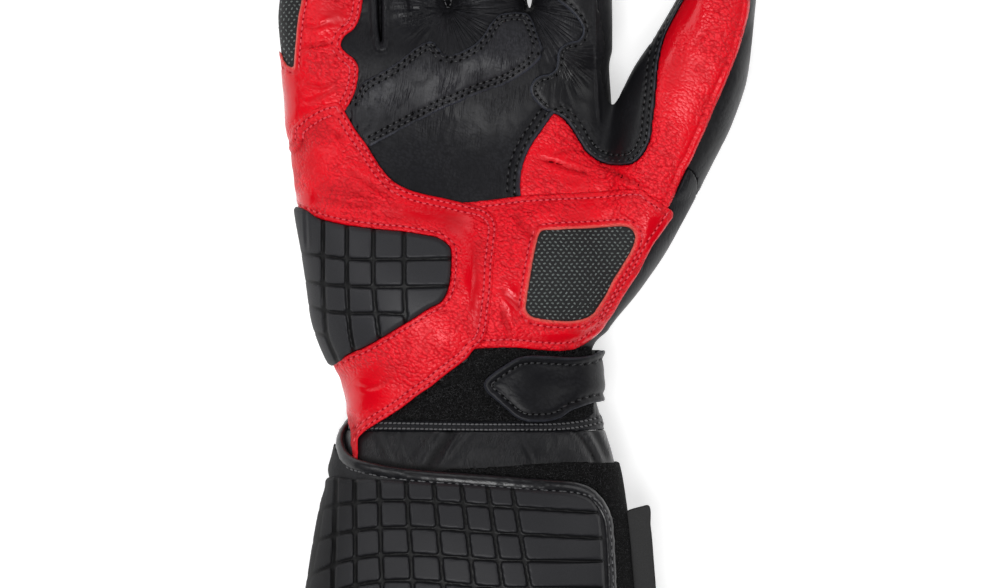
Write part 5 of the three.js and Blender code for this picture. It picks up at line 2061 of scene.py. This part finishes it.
make_palm()
make_fingers()
make_thumb()
make_backs()
make_gauntlet_front()
make_panels()
make_heel_slider()
make_cuff_grid()
make_patch("thenar_patch", "thenar_window", 101)
make_patch("little_finger_patch", "little_finger_patch", 102)
make_pad("wrist_loop_pad", ("heel_panel", "thenar_panel"), 111, 9000)
make_pad("cuff_loop_pad", (), 121, 16000)
make_strap()
make_flap()
make_binding()
make_label()

# Camera over the palm, floor and lights
LENS = 250
SENSOR = 36
PHOTO_WIDTH = 1000
PHOTO_CENTRE = (500, 294)
AIM_HEIGHT = 36
CLIP_END = 50
aim = Vector((across(PHOTO_CENTRE[0]), along(PHOTO_CENTRE[1]), AIM_HEIGHT)) * MM
distance = PHOTO_WIDTH * SCALE * LENS / SENSOR * MM
camera_data = bpy.data.cameras.new("camera")
camera_data.lens = LENS
camera_data.sensor_width = SENSOR
camera_data.clip_end = CLIP_END
camera = bpy.data.objects.new("camera", camera_data)
collection.objects.link(camera)
camera.location = aim + Vector((0, 0, distance))
bpy.context.scene.camera = camera


# Soft lights round the glove: place, size and power. The one in front lets level leather shine,
# while what turns down at the sides stays dark.
LIGHTS = {
    "left": ((-1.75, 0.6, 1.5), (1.1, 1.3), 13),
    "right": ((1.75, 0.7, 1.5), (1.1, 1.3), 13),
    "low": ((0.2, -1.9, 1.5), (1.4, 1.0), 6),
    "high": ((-0.2, 1.9, 1.5), (1.4, 1.0), 9),
    "front": ((-0.22, -0.48, 2.1), (0.9, 0.7), 31),
}
for name, (place, size, power) in LIGHTS.items():
    lamp = bpy.data.lights.new(name, "AREA")
    lamp.shape = "RECTANGLE"
    lamp.size, lamp.size_y = size
    lamp.energy = power
    light = bpy.data.objects.new(name, lamp)
    collection.objects.link(light)
    light.location = place
    light.rotation_euler = (-Vector(place)).to_track_quat("-Z", "Y").to_euler()

FLOOR_REACH = 4
FLOOR_DROP = 0.0005
FLOOR_GLOW = 0.58
WORLD_LIGHT = 0.05
floor_mesh = bpy.data.meshes.new("floor")
floor_corners = [(x * FLOOR_REACH, y * FLOOR_REACH, 0) for x, y in ((-1, -1), (1, -1), (1, 1), (-1, 1))]
floor_mesh.from_pydata(floor_corners, [], [(0, 1, 2, 3)])
floor_material, floor_tree = new_tree("floor")
floor_look = {
    "Base Color": (0.7, 0.7, 0.7, 1), "Roughness": 0.9,
    "Emission Color": (1, 1, 1, 1), "Emission Strength": FLOOR_GLOW,
}
floor_shader = node(floor_tree, "BsdfPrincipled", floor_look)
node(floor_tree, "OutputMaterial", {"Surface": floor_shader.outputs[0]})
floor_mesh.materials.append(floor_material)
floor = bpy.data.objects.new("floor", floor_mesh)
collection.objects.link(floor)
floor.location.z = -FLOOR_DROP

world = bpy.data.worlds.new("world")
world.use_nodes = True
background = world.node_tree.nodes["Background"]
background.inputs["Color"].default_value = (1, 1, 1, 1)
background.inputs["Strength"].default_value = WORLD_LIGHT
bpy.context.scene.world = world
bpy.context.scene.view_settings.view_transform = "Standard"
